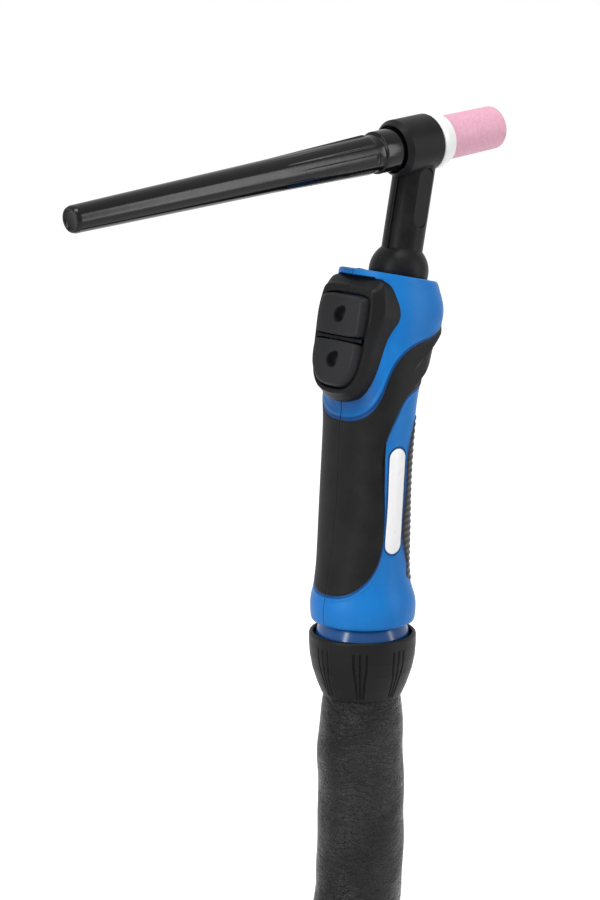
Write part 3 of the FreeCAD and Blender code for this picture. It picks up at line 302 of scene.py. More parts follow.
def followed(piece, spacing):
    """Evenly spaced points along a laid curve, in millimetres, read from the curve itself."""
    bpy.context.view_layer.update()
    mesh = bpy.data.meshes.new_from_object(piece.evaluated_get(bpy.context.evaluated_depsgraph_get()))
    spots = np.empty(len(mesh.vertices) * 3)
    mesh.vertices.foreach_get("co", spots)
    spots = spots.reshape(-1, 3) / MM
    along = np.concatenate([[0.0], np.cumsum(np.linalg.norm(np.diff(spots, axis=0), axis=1))])
    even = np.linspace(0.0, along[-1], int(along[-1] / spacing) + 1)
    return even, np.stack([np.interp(even, along, spots[:, axis]) for axis in range(3)], -1)


def skin(name, grid, finish, closed=(False, False), ends=(False, False), sharp=32.0):
    """A mesh whose corners are a grid of points in millimetres, rows by columns. closed joins the last row
    to the first and the last column to the first; ends shuts the first and the last row with a fan."""
    rows, columns = grid.shape[:2]
    order = np.arange(rows * columns).reshape(rows, columns)
    if closed[0]:
        order = np.vstack([order, order[:1]])
    if closed[1]:
        order = np.hstack([order, order[:, :1]])
    faces = np.stack([order[:-1, :-1], order[:-1, 1:], order[1:, 1:], order[1:, :-1]], -1)
    faces = faces.reshape(-1, 4).tolist()
    corners = grid.reshape(-1, 3)
    for shut, row in zip(ends, (0, -1)):
        if shut:
            corners = np.vstack([corners, grid[row].mean(0)])
            middle = len(corners) - 1
            pairs = np.stack([order[row, :-1], order[row, 1:]], -1)
            faces += [(middle, b, a) if row == 0 else (middle, a, b) for a, b in pairs.tolist()]
    mesh = bpy.data.meshes.new(name)
    mesh.from_pydata((corners * MM).tolist(), [], faces)
    shape = bmesh.new()
    shape.from_mesh(mesh)
    bmesh.ops.remove_doubles(shape, verts=shape.verts, dist=1e-7)
    bmesh.ops.recalc_face_normals(shape, faces=shape.faces)
    shape.to_mesh(mesh)
    shape.free()
    mesh.shade_smooth()
    mesh.set_sharp_from_angle(angle=math.radians(sharp))
    mesh.materials.append(finish.material)
    piece = bpy.data.objects.new(name, mesh)
    bpy.context.collection.objects.link(piece)
    return piece


def cross_frames(path):
    """Two unit vectors across a path at each of its points, carried along it with no twist."""
    ahead = np.gradient(path, axis=0)
    ahead /= np.linalg.norm(ahead, axis=1)[:, None]
    first = np.empty_like(path)
    first[0] = np.cross(ahead[0], (0.0, 1.0, 0.0))
    for i in range(1, len(path)):
        kept = first[i - 1] - ahead[i] * (first[i - 1] @ ahead[i])
        first[i] = kept / np.linalg.norm(kept)
    first[0] /= np.linalg.norm(first[0])
    return first, np.cross(ahead, first)


def hashed_waves(along, angle, count, seed, long_mm, around):
    """A sum of waves of seeded direction and phase over the sleeve, between -1 and 1 or so. Each wave is the
    cosine of a length along the sleeve over its pitch plus a whole number of turns round it."""
    draw = np.random.default_rng(seed)
    total = np.zeros(np.broadcast(along, angle).shape)
    for _ in range(count):
        pitch = long_mm * draw.uniform(0.7, 1.5)
        total += np.cos(2 * np.pi * along / pitch * draw.choice([-1, 1]) + draw.integers(*around) * angle
                        + draw.uniform(0, 2 * np.pi))
    return total / math.sqrt(count)


length, spots = followed(sleeve_line, 1.6)
bpy.data.objects.remove(sleeve_line)
first, second = cross_frames(spots)
angle = np.linspace(0, 2 * np.pi, 96, endpoint=False)[None, :]
along = length[:, None]
gathered = 13.1 + 1.9 * (1 - np.exp(-along / 9.0))
broad_dents = hashed_waves(along, angle, 7, 3, 60.0, (1, 4))
small_dents = hashed_waves(along, angle, 9, 5, 22.0, (1, 6))
dents = 0.34 * broad_dents + 0.16 * small_dents
soft = np.minimum(1.0, 0.25 + along / 22.0) * np.clip((length[-1] - along) / 8.0, 0, 1)
radius = (gathered + (dents - 0.05) * soft)[..., None]
tube = spots[:, None, :] + radius * (np.cos(angle)[..., None] * first[:, None, :]
                                     + np.sin(angle)[..., None] * second[:, None, :])
tube[..., 2] = np.maximum(tube[..., 2], FLOOR + 0.05)
leather = Finish("creased leather", (0.003, 0.003, 0.0033), 0.3, {"Specular IOR Level": 0.22})


def creased(size_mm, flatten, width):
    """Fine valleys where a noise, drawn out round the sleeve, crosses its middle value: 1 in the valley."""
    return 1.0 - abs(leather.grain(size_mm, 2.0, 0.5, (1.0, 1.0, flatten)) - 0.5).between(0.0, width)


valleys = creased(6.5, 0.34, 0.05) + 0.7 * creased(3.4, 0.42, 0.06)
pores = leather.node("ShaderNodeTexVoronoi", {"feature": "DISTANCE_TO_EDGE"}, {
    "Vector": leather.place(), "Scale": 1100.0}).between(0.0, 0.25)
soft_folds = leather.grain(13.0, 2.0, 0.5, (1.0, 1.0, 0.5))
# Lighter rubbed patches: partly wear on the leather, partly painted sheen on its ridges.
rubbed_and_sheen = leather.grain(18.0, 3.0, 0.6, (1.0, 1.0, 0.8)).between(0.42, 0.68)
leather.relief(1.6 * soft_folds - 0.26 * valleys + 0.04 * pores)
leather.set("Roughness", 0.40 - 0.16 * rubbed_and_sheen)
# Painted light: the creases are painted darker as shade, and the lighter rubbed patches between them stand in
# partly for worn leather and partly for a painted sheen.
leather.set("Base Color", leather.shade(
    rubbed_and_sheen * (1.0 - 0.8 * valleys), (0.0022, 0.0022, 0.0024), (0.016, 0.016, 0.0172)))
sleeve = skin("sleeve_leather", tube, leather, closed=(False, True), ends=(True, True), sharp=60.0)
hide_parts("leather_sleeve")
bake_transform(sleeve)


# Pieces turned about the head's axis. The axis crosses the top of the neck and climbs a little towards the
# cup, so a place on it is so far along, and a ring round it has its own across and up.
HEAD_TILT = math.radians(6.3)
HEAD = (np.array([22.5, 0.0, 100.3]), np.array([math.cos(HEAD_TILT), 0.0, math.sin(HEAD_TILT)]),
        np.array([0.0, 1.0, 0.0]), np.array([-math.sin(HEAD_TILT), 0.0, math.cos(HEAD_TILT)]))
UPRIGHT = (np.zeros(3), np.array([0.0, 0.0, 1.0]), np.array([1.0, 0.0, 0.0]), np.array([0.0, 1.0, 0.0]))


def eased(profile, reach):
    """A profile with each corner cut back and replaced by a short quadratic curve."""
    spots = [np.asarray(profile[0], float)]
    for before, corner, after in zip(profile, profile[1:], profile[2:]):
        before, corner, after = (np.asarray(p, float) for p in (before, corner, after))
        near = corner + (before - corner) * min(0.45, reach / max(np.linalg.norm(before - corner), 1e-9))
        far = corner + (after - corner) * min(0.45, reach / max(np.linalg.norm(after - corner), 1e-9))
        spots += [(1 - t) ** 2 * near + 2 * t * (1 - t) * corner + t * t * far
                  for t in (0.0, 0.25, 0.5, 0.75, 1.0)]
    return np.array(spots + [np.asarray(profile[-1], float)])


def ringed(frame_axes, along, radius, angle):
    """Points at a length along an axis and a radius from it, at angles round it."""
    origin, ahead, across, upwards = frame_axes
    return (origin + along[..., None] * ahead + (radius * np.cos(angle))[..., None] * across
            + (radius * np.sin(angle))[..., None] * upwards)


def turned(name, profile, finish, axes=HEAD, reach=0.3, sides=128, closed=False, sharp=40.0):
    """A profile of (along, radius) turned about an axis."""
    line = eased(profile, reach)
    angle = np.linspace(0, 2 * np.pi, sides, endpoint=False)[None, :]
    along, radius = (np.repeat(line[:, i: i + 1], sides, axis=1) for i in (0, 1))
    return skin(name, ringed(axes, along, radius, np.repeat(angle, len(line), axis=0)), finish,
                closed=(closed, True), sharp=sharp)


# Gas cup: a straight nozzle of fired pink alumina, slip cast, with a slightly rounded mouth. It is open
# right through, and its faintly mottled surface has no glaze.
alumina = Finish("pink alumina", (0.70, 0.37, 0.47), 0.5, {"Specular IOR Level": 0.4})
speckle = alumina.grain(1.1, 4.0, 0.65)
alumina.set("Base Color", alumina.shade(speckle.between(0.35, 0.7), (0.69, 0.345, 0.455), (0.76, 0.41, 0.52)))
alumina.relief(0.03 * alumina.grain(0.25, 3.0))
cup = turned("gas_cup_alumina", [
    (20.0, 5.55), (5.1, 5.55), (5.1, 7.1), (5.5, 7.5), (34.6, 7.3), (35.1, 6.8), (35.1, 5.85), (34.8, 5.55),
    (20.0, 5.55)], alumina, reach=0.5)
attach(cup, "gas_cup")
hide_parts("gas_cup")

# Gasket: a ring turned from white PTFE, squeezed between the cup and the head. It keeps the heat off the
# moulding, and its front is stepped down to a lip that the cup's foot sits in.
ptfe = Finish("white ptfe", (0.86, 0.87, 0.86), 0.38)
ptfe.set("Roughness", 0.34 + 0.12 * ptfe.grain(2.0, 3.0))
ptfe.relief(0.012 * ptfe.grain(0.4, 2.0, 0.5, (0.3, 1.0, 1.0)))
washer = turned("gasket_ptfe", [
    (7.0, 7.65), (10.0, 7.65), (10.0, 8.0), (9.5, 8.5), (5.6, 9.5), (3.95, 9.5), (3.65, 9.2), (3.65, 4.3),
    (4.9, 4.3), (4.9, 7.65), (7.0, 7.65)], ptfe, reach=0.25)
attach(washer, "gasket")
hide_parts("gasket")

# Torch head, neck and ball: one matt black moulding over the brass, with a faint flash line left down its
# middle. The brass, the copper of the neck and the cap's seal are inside it.
phenolic = Finish("black moulding", (0.004, 0.004, 0.0045), 0.34, {"Specular IOR Level": 0.12})
mottle = phenolic.grain(5.0, 4.0, 0.6)
phenolic.set("Roughness", 0.30 + 0.26 * mottle)
phenolic.set("Base Color", phenolic.shade(
    mottle.between(0.35, 0.75), (0.004, 0.004, 0.0045), (0.009, 0.009, 0.0098)))
phenolic.relief(0.03 * phenolic.grain(0.5, 3.0) + 0.04 * phenolic.grain(3.0, 2.0) - 0.08 * phenolic.seam())
dress("torch_insulation", phenolic)
copper = Finish("drawn copper", (0.80, 0.42, 0.27), 0.3, {"Metallic": 1.0})
copper.set("Roughness", 0.24 + 0.2 * copper.grain(1.0, 3.0, 0.6, (1.0, 1.0, 10.0)))
for name in ("collet", "neck_tube"):
    dress(name, copper)
seal_rubber = Finish("seal rubber", (0.015, 0.015, 0.015), 0.5)
seal_rubber.relief(0.01 * seal_rubber.grain(0.4))
dress("back_cap_seal", seal_rubber)

# Back cap: a long cap of polished black plastic that holds the electrode's tail. Behind its collar six
# raised ribs give the fingers a hold, and fade into the taper; its end is dished inside a bright rim.
RIBS, RIB_GAP = 6, 1.5
polished = Finish("polished black", (0.0024, 0.0024, 0.003), 0.1, {"Specular IOR Level": 0.2})
polished.set("Roughness", 0.1 + 0.12 * polished.grain(7.0, 4.0, 0.6))
polished.relief(0.02 * polished.grain(5.0, 2.0))
cap_line = eased([(-4.0, 2.4), (-4.0, 4.25), (-10.2, 4.25), (-10.2, 6.75), (-10.6, 7.15), (-20.0, 7.05),
                  (-20.3, 6.15), (-22.2, 6.12), (-22.8, 6.11)], 0.25)
cap_body = np.stack([np.linspace(-23.0, -142.2, 160), np.linspace(6.109, 4.303, 160)], -1)
cap_tail = eased([(-142.3, 4.3), (-143.5, 3.9), (-143.6, 3.2), (-142.9, 2.7), (-142.7, 0.0)], 0.5)
cap_line = np.vstack([cap_line, cap_body, cap_tail])
angle = np.linspace(0, 2 * np.pi, 240, endpoint=False)[None, :]
along, core = cap_line[:, :1], cap_line[:, 1:]
sector = 2 * np.pi / RIBS
offset = (angle - math.radians(100.0) + sector / 2) % sector - sector / 2
ridge = np.interp(-along, [22.6, 24.0, 82.0, 90.0], [6.1, 6.65, 5.0, 4.6])
mask = np.clip((np.abs(np.sin(offset)) * 6.3 - RIB_GAP + 0.2) / 0.4, 0, 1)
on_ribs = (along < -22.6) & (along > -84.0)
radius = core + np.where(on_ribs, np.maximum(ridge - core, 0.0), 0.0) * mask * mask * (3 - 2 * mask)
cap_grid = ringed(HEAD, np.repeat(along, 240, axis=1), radius, np.repeat(angle, len(along), 0))
cap = skin("back_cap_polished", cap_grid, polished, closed=(False, True), sharp=40.0)
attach(cap, "back_cap")
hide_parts("back_cap")


# Handle: two blue glass-filled nylon shells, screwed together from the left, with a fine spark-eroded
# texture. Across the handle its section is a full oval, and the ovals change smoothly up its height.
STATIONS = np.array([
    (-58.8, -17.6, 17.6, 17.6, 2.0), (-55.0, -17.9, 17.9, 17.9, 2.0), (-51.0, -17.7, 17.6, 17.7, 2.0),
    (-47.0, -16.8, 16.2, 16.5, 2.05), (-43.0, -16.0, 15.2, 15.8, 2.1), (-35.0, -14.7, 14.2, 15.7, 2.2),
    (-24.0, -13.0, 13.1, 16.0, 2.4), (-11.0, -12.0, 12.9, 16.2, 2.4), (2.0, -11.3, 13.7, 16.2, 2.4),
    (11.0, -11.3, 14.8, 16.3, 2.35), (20.0, -11.6, 16.4, 16.5, 2.35), (30.0, -9.8, 20.6, 16.8, 2.35),
    (38.0, -8.2, 25.2, 17.1, 2.35), (46.0, -7.0, 27.7, 17.0, 2.35), (55.0, -6.5, 25.4, 15.9, 2.3),
    (63.0, -6.3, 24.0, 15.2, 2.2)])
NECK_LEAN = math.radians(11.0)
TOP_X, TOP_Z = 9.1, 57.9
MEAN_RADIUS = 15.0


def smooth(knots, values, at):
    """A natural cubic spline through rows of values, read at other places."""
    gap = np.diff(knots)
    matrix = np.eye(len(knots))
    inner = np.arange(1, len(knots) - 1)
    matrix[inner, inner - 1] = gap[:-1]
    matrix[inner, inner] = 2 * (gap[:-1] + gap[1:])
    matrix[inner, inner + 1] = gap[1:]
    slope = np.diff(values, axis=0) / gap[:, None]
    bends = np.zeros_like(values)
    bends[1:-1] = 6 * (slope[1:] - slope[:-1])
    bends = np.linalg.solve(matrix, bends)
    span = np.clip(np.searchsorted(knots, at) - 1, 0, len(knots) - 2)
    width = gap[span][..., None]
    done = (at - knots[span])[..., None]
    left = width - done
    return ((bends[span] * left ** 3 + bends[span + 1] * done ** 3) / (6 * width)
            + (values[span] / width - bends[span] * width / 6) * left
            + (values[span + 1] / width - bends[span + 1] * width / 6) * done)


def handle_row(height):
    """Middle, half depth, half width and fullness of the oval at each height."""
    front, rear, half, full = np.moveaxis(smooth(STATIONS[:, 0], STATIONS[:, 1:], height), -1, 0)
    return (front + rear) / 2, (rear - front) / 2, half, full


def on_handle(angle, height, proud=0.0):
    """Points of the handle's form. The angle is 0 at the back and half a turn at the front; x and y are the
    oval's depth and width times the cosine and sine, each to the power of 2 over the fullness."""
    middle, depth, half, full = handle_row(height)
    c, s = np.cos(angle), np.sin(angle)
    return np.stack([middle + np.copysign(np.abs(c) ** (2 / full), c) * (depth + proud),
                     np.copysign(np.abs(s) ** (2 / full), s) * (half + proud),
                     height + 0.0 * angle], -1)


def angle_at(x, height):
    """The angle at which the form's side view has that x, clipped to the form."""
    middle, depth, _, full = handle_row(height)
    share = np.clip((x - middle) / depth, -1.0, 1.0)
    return np.arccos(np.copysign(np.abs(share) ** (full / 2), share))


blue = Finish("blue nylon", (0.006, 0.15, 0.47), 0.38, {"Specular IOR Level": 0.16})
flow = blue.grain(16.0, 3.0, 0.55)
edge = blue.stored("edge")
# The nylon's own blue, with a random flow tone.
unshaded_blue = blue.shade(flow.between(0.3, 0.75), (0.005, 0.145, 0.46), (0.009, 0.175, 0.52))
# Painted shade: the hollow below the bezel and a thin line along the edges of the grip, the pad and the label
# are darkened to a deep blue, as the shade in that recess and in those grooves.
painted_shade = 0.8 * blue.stored("hollow") + 0.9 * (1.0 - edge.between(0.3, 0.65))
blue.set("Base Color", blue.shade(painted_shade, unshaded_blue, (0.002, 0.045, 0.17)))
blue.set("Roughness", 0.36 + 0.14 * blue.grain(3.0, 3.0) - 0.16 * blue.stored("hollow"))
blue.relief(0.03 * blue.grain(0.35, 2.0) + 0.5 * edge.between(0.2, 0.8) - 0.15 * edge.between(0.8, 1.5)
            - 0.25 * blue.seam())
SEAM_TURN = np.concatenate([[0.0, 0.0, 0.002, 0.008], np.linspace(0.03, math.pi - 0.03, 150),
                            [math.pi - 0.008, math.pi - 0.002, math.pi, math.pi]])
SEAM_DROP = np.concatenate([[-1.6, -0.2, -0.05, 0.0], np.zeros(150), [0.0, -0.05, -0.2, -1.6]])
LABEL_X, LABEL_Z, LABEL_LEAN = -0.6, -15.5, math.radians(2.5)
LABEL_HALF, LABEL_STRAIGHT = 3.3, 14.7
UPPER_EDGE = np.array([(-30.0, 8.0), (-13.0, 9.8), (-8.6, 14.6), (-4.9, 22.4), (-1.4, 30.0), (4.0, 35.2),
                       (14.0, 38.2), (30.0, 44.5)])
LOWER_EDGE = np.array([(-30.0, -49.5), (-16.0, -47.6), (-12.2, -44.6), (-7.6, -38.4), (-5.9, -33.0),
                       (-5.7, -12.0), (-5.0, 3.0), (-1.2, 12.6), (3.4, 19.2), (14.0, 22.0), (30.0, 24.5)])
PAD_EDGE = np.array([(30.0, -48.5), (13.0, -45.5), (6.5, -38.5), (3.8, -32.0), (3.9, -12.0), (5.2, 1.5),
                     (8.0, 8.5), (13.0, 12.0), (30.0, 14.6)])


def edge_on_form(line, count):
    """A smooth line of the side view laid on the form, as angles and heights, from where it meets the front
    or back seam to where it leaves it."""
    reach = np.concatenate([[0.0], np.cumsum(np.linalg.norm(np.diff(line, axis=0), axis=1))])
    spots = smooth(reach, line, np.linspace(0.0, reach[-1], 3000))
    middle, depth, _, _ = handle_row(spots[:, 1])
    kept = spots[np.abs(spots[:, 0] - middle) <= depth]
    angle, height = angle_at(kept[:, 0], kept[:, 1]), kept[:, 1]
    for end in (0, -1):
        angle[end] = math.pi if angle[end] > math.pi / 2 else 0.0
    flat = np.stack([angle * MEAN_RADIUS, height], -1)
    along = np.concatenate([[0.0], np.cumsum(np.linalg.norm(np.diff(flat, axis=0), axis=1))])
    even = np.linspace(0.0, along[-1], count)
    return np.interp(even, along, angle), np.interp(even, along, height)


def drawn(line, count=700):
    """A smooth line through points of the side view."""
    reach = np.concatenate([[0.0], np.cumsum(np.linalg.norm(np.diff(line, axis=0), axis=1))])
    return smooth(reach, line, np.linspace(0.0, reach[-1], count))


def nearest(line, spots):
    """How far each place of the side view is from a line."""
    best = np.full(len(spots), 1e9)
    for chunk in np.array_split(line, 14):
        best = np.minimum(best, np.linalg.norm(spots[:, None, :] - chunk[None, :, :], axis=2).min(1))
    return best


def inside(loop, spots):
    """Whether each place lies inside a closed line, by the crossings of a ray from it."""
    x, y = spots[:, :1], spots[:, 1:]
    ax, ay = loop[:, 0][None, :], loop[:, 1][None, :]
    bx, by = np.roll(ax, -1, 1), np.roll(ay, -1, 1)
    crossed = ((ay > y) != (by > y)) & (x < (bx - ax) * (y - ay) / np.where(by == ay, 1e-9, by - ay) + ax)
    return crossed.sum(1) % 2 == 1


SLOPE = math.radians(12.0)
FACE = (np.array([-14.0, 0.0, 38.9]), np.array([0.0, -1.0, 0.0]),
        np.array([math.sin(SLOPE), 0.0, math.cos(SLOPE)]), np.array([-math.cos(SLOPE), 0.0, math.sin(SLOPE)]))
LEDGE = [(0, 21.4), (9.4, 21.2), (12.0, 20.4), (13.5, 18.4), (15.7, 10.0), (14.0, 4.2), (13.3, 0.6),
         (12.8, -5.2), (11.8, -11.4), (10.2, -15.8), (7.2, -19.4), (0, -21.0)]


def outlined(half, rounds=3):
    """A half outline mirrored, its corners cut by quarters a few times."""
    full = np.array(half + [(-u, v) for u, v in reversed(half[1:-1])], float)
    for _ in range(rounds):
        after = np.roll(full, -1, axis=0)
        full = np.stack([0.75 * full + 0.25 * after, 0.25 * full + 0.75 * after], 1).reshape(-1, 2)
    return full


def as_rays(outline, middle, angle):
    """Where rays from a middle, at even angles, meet an outline."""
    spokes = outline - middle
    bearing = np.arctan2(spokes[:, 1], spokes[:, 0]) % (2 * np.pi)
    order = np.argsort(bearing)
    reach = np.interp(angle, bearing[order], np.hypot(*spokes.T)[order], period=2 * np.pi)
    return middle + reach[:, None] * np.stack([np.cos(angle), np.sin(angle)], -1)


BEZEL_FOOT, FRONT_HALF = -7.6, 4.0
bezel_rays = np.linspace(0, 2 * np.pi, 720, endpoint=False)
bezel_middle = np.array([0.0, -0.6])
bezel_reach = np.linalg.norm(as_rays(outlined(LEDGE), bezel_middle, bezel_rays) - bezel_middle, axis=1)


def under_bezel(points):
    """Moves the points of a grid that the bezel covers in along the switch face, to below its foot."""
    origin, right, up, out = FACE
    flat = np.stack([(points - origin) @ right, (points - origin) @ up], -1) - bezel_middle
    level = (points - origin) @ out
    bearing = np.arctan2(flat[..., 1], flat[..., 0]) % (2 * np.pi)
    edge_reach = np.interp(bearing, bezel_rays, bezel_reach, period=2 * np.pi)
    covered = np.hypot(flat[..., 0], flat[..., 1]) < edge_reach - 0.1
    drop = np.where(covered & (points[..., 0] < FRONT_HALF), np.minimum(0.0, BEZEL_FOOT - level), 0.0)
    return points + drop[..., None] * out


upper_line, lower_line, pad_line = drawn(UPPER_EDGE), drawn(LOWER_EDGE), drawn(PAD_EDGE)
grip_loop, pad_loop = np.vstack([upper_line, lower_line[::-1]])[::4], pad_line[::4]


def label_gap(spots):
    """How far each place of the side view is from the label's outline."""
    c, s = math.cos(LABEL_LEAN), math.sin(LABEL_LEAN)
    local = (spots - (LABEL_X, LABEL_Z)) @ np.array([[c, s], [-s, c]])
    stretch = np.maximum(np.abs(local[:, 1]) - LABEL_STRAIGHT, 0.0)
    return np.abs(np.hypot(local[:, 0], stretch) - LABEL_HALF)


LET_IN, HOLLOW_DEEP, HOLLOW_WIDE = 1.3, 0.8, 6.5


def under_covers(spots):
    """How far the shell is let in at each place of the side view: under the grip and the pad, with a ramp
    inside their outlines, and in a soft hollow between the grip's top edge and the bezel."""
    x, gap = spots[:, 0], nearest(np.vstack([upper_line, lower_line]), spots)
    let_in = np.where(inside(grip_loop, spots), np.clip((gap - 0.6) / 1.2, 0, 1), 0.0)
    let_in = np.maximum(let_in, np.where(inside(pad_loop, spots), np.clip(
        (nearest(pad_line, spots) - 0.6) / 1.2, 0, 1), 0.0))
    return LET_IN * let_in + HOLLOW_DEEP * hollow(spots, gap)


def hollow(spots, gap):
    """1 in the middle of the hollow below the bezel and 0 outside it."""
    above = ~inside(grip_loop, spots) & (spots[:, 1] > 5.0)
    across = np.sin(np.pi * np.clip(gap / HOLLOW_WIDE, 0, 1)) ** 0.8
    return np.where(above, across, 0.0) * np.clip((-5.0 - spots[:, 0]) / 5.0, 0, 1)


for side, hand in ((1, "left"), (-1, "right")):
    angle = side * SEAM_TURN[None, :]
    top = np.full_like(angle, 55.0)
    for _ in range(14):
        top = TOP_Z - math.tan(NECK_LEAN) * (on_handle(angle, top)[..., 0] - TOP_X)
    share = np.linspace(0.0, 1.0, 260)[1:-1, None]
    low, high = -58.0, top - 0.8
    heights = np.vstack([np.full_like(top, -58.8), np.full_like(top, -58.8), np.full_like(top, -58.55),
                         low + share * (high - low), top - 0.25, top, top])
    drops = np.vstack([np.full_like(top, v) for v in (-2.8, -0.7, -0.2)]
                      + [np.zeros((len(share), angle.shape[1]))]
                      + [np.full_like(top, v) for v in (-0.2, -0.75, -1.2)])
    angles = np.repeat(angle, len(heights), 0)
    plain = on_handle(angles, heights)[..., [0, 2]]
    sunk_in = under_covers(plain.reshape(-1, 2)).reshape(heights.shape)
    shell = under_bezel(on_handle(angles, heights, drops + SEAM_DROP[None, :] - sunk_in))
    seat_middle = np.array([14.075, 0.0, 56.93])
    lean_x = np.array([math.cos(NECK_LEAN), 0.0, -math.sin(NECK_LEAN)])
    seat = seat_middle + 10.15 * (np.cos(angle)[..., None] * lean_x
                                  + np.sin(angle)[..., None] * np.array([0.0, 1.0, 0.0]))
    lid = shell[-1:] * 0.5 + seat * 0.5
    sunk = seat - 2.0 * np.array([math.sin(NECK_LEAN), 0.0, math.cos(NECK_LEAN)])
    shell = np.vstack([shell, lid, seat, sunk])
    half_shell = skin(f"handle_shell_blue_{hand}", shell, blue, sharp=50.0)
    spots = np.empty(len(half_shell.data.vertices) * 3)
    half_shell.data.vertices.foreach_get("co", spots)
    spots = spots.reshape(-1, 3)[:, [0, 2]] / MM
    grip_gap = nearest(np.vstack([upper_line, lower_line]), spots)
    gap = np.minimum(grip_gap, nearest(pad_line, spots))
    if side < 0:
        gap = np.minimum(gap, label_gap(spots))
    # The edge and hollow values carry the painted shade in the blue's colour, besides the edge's bump and the
    # hollow's lower roughness.
    for stored, values in (("edge", np.minimum(gap, 3.0)), ("hollow", hollow(spots, grip_gap))):
        carried = half_shell.data.attributes.new(stored, "FLOAT", "POINT")
        carried.data.foreach_set("value", values.astype(np.float32))
    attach(half_shell, "torch")
    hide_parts(f"handle_shell_{hand}")

# Grip: a soft black thermoplastic moulded over the shells. It covers the front, climbs to the back as a
# band, and ends there in a thumb rest of overlapping scales.
def patch(low, high, rows, roll_mm=0.45):
    """Angles, heights and how far in from the nearest edge, on a grid between two edges. The outermost rows
    lie close to the edges so that these can be rolled over."""
    gap = np.hypot((high[0] - low[0]) * MEAN_RADIUS, high[1] - low[1])[None, :] + 1e-6
    near = np.minimum(roll_mm / gap, 0.3)
    inner = np.linspace(0.0, 1.0, rows)[:, None]
    share = np.vstack([0 * near, near * 0.35, near + inner * (1 - 2 * near), 1 - near * 0.35, 1 - 0 * near])
    angle = low[0][None, :] + share * (high[0] - low[0])[None, :]
    height = low[1][None, :] + share * (high[1] - low[1])[None, :]
    rim = np.concatenate([[-0.5, -0.08], np.full(rows, 0.12), [-0.08, -0.5]])[:, None]
    return angle, height, rim + 0.0 * angle


soft_grip = Finish("soft grip", (0.006, 0.006, 0.0065), 0.46, {"Specular IOR Level": 0.13})
worn = soft_grip.grain(9.0, 4.0, 0.6)
soft_grip.set("Base Color", soft_grip.shade(
    worn.between(0.35, 0.75), (0.005, 0.005, 0.0055), (0.010, 0.010, 0.0108)))
soft_grip.set("Roughness", 0.44 + 0.16 * worn)
soft_grip.relief(0.05 * soft_grip.grain(0.45, 3.0) - 0.3 * soft_grip.seam())
GRIP_COLUMNS = 260
upper, lower = edge_on_form(UPPER_EDGE, GRIP_COLUMNS), edge_on_form(LOWER_EDGE, GRIP_COLUMNS)
grip_angle, grip_height, grip_proud = patch(lower, upper, 90)
SCALE_PITCH, SCALE_STEP = 5.6, 1.5


def thumb_scales(x, height):
    """Steps that run down and forward across the back of the band: a rising ramp and a drop per pitch."""
    down = (44.0 - height) * 0.80 + (x - 20.0) * 0.55
    ramp = (down / SCALE_PITCH) % 1.0
    step = np.where(ramp < 0.8, ramp / 0.8, (1.0 - ramp) / 0.2)
    there = np.clip((x - 6.0) / 6.0, 0, 1) * np.clip((height - 19.0) / 4.0, 0, 1)
    return SCALE_STEP * (step - 0.5) * there


grip_x = on_handle(grip_angle, grip_height)[..., 0]
inner_rows = (grip_proud > 0).astype(float)
inset = np.minimum(grip_height - lower[1][None, :], upper[1][None, :] - grip_height)
grip_proud = grip_proud + inner_rows * thumb_scales(grip_x, grip_height) * np.clip((inset - 0.8) / 1.6, 0, 1)
for side, hand in ((1, "left"), (-1, "right")):
    grip = skin(f"grip_soft_{hand}", on_handle(side * grip_angle, grip_height, grip_proud), soft_grip,
                sharp=50.0)
    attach(grip, "torch")
    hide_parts(f"grip_{hand}")

# Rear pad: the same soft plastic on the lower back of the handle, where the palm lies. It is moulded in
# fine ribs across, which fade out towards its edges.
RIB_PITCH = 2.2
pad_height = np.linspace(-48.0, 14.0, 2400)
reach = np.argsort(PAD_EDGE[:, 1])
pad_x = smooth(PAD_EDGE[reach, 1], PAD_EDGE[reach, :1], pad_height)[:, 0]
pad_middle, pad_depth, _, _ = handle_row(pad_height)
on_form = pad_x < pad_middle + pad_depth
pad_height = np.linspace(pad_height[on_form][0], pad_height[on_form][-1], 300)
pad_x = smooth(PAD_EDGE[reach, 1], PAD_EDGE[reach, :1], pad_height)[:, 0]
pad_edge = angle_at(pad_x, pad_height)
share = np.concatenate([[0.0, 0.012, 0.04], np.linspace(0.08, 1.0, 34)])[None, :]
pad_angle = pad_edge[:, None] * (1 - share)
pad_half = pad_edge[:, None] * MEAN_RADIUS
pad_rise = np.clip(pad_half * share / 1.2, 0, 1) * np.clip(pad_half / 3.0, 0, 1)
pad_proud = -0.5 + 0.62 * np.clip(share / 0.04, 0, 1) + 0.24 * pad_rise * (
    0.5 + 0.5 * np.cos(2 * np.pi * pad_height[:, None] / RIB_PITCH))
ribbed = Finish("ribbed pad", (0.007, 0.007, 0.0078), 0.44, {"Specular IOR Level": 0.22})
ribbed.relief(0.04 * ribbed.grain(0.45, 3.0))
for side, hand in ((1, "left"), (-1, "right")):
    pad_heights = np.repeat(pad_height[:, None], share.shape[1], 1)
    pad = skin(f"rear_pad_ribbed_{hand}", on_handle(side * pad_angle, pad_heights, pad_proud), ribbed,
               sharp=60.0)
    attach(pad, "torch")
    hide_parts(f"rear_pad_{hand}")

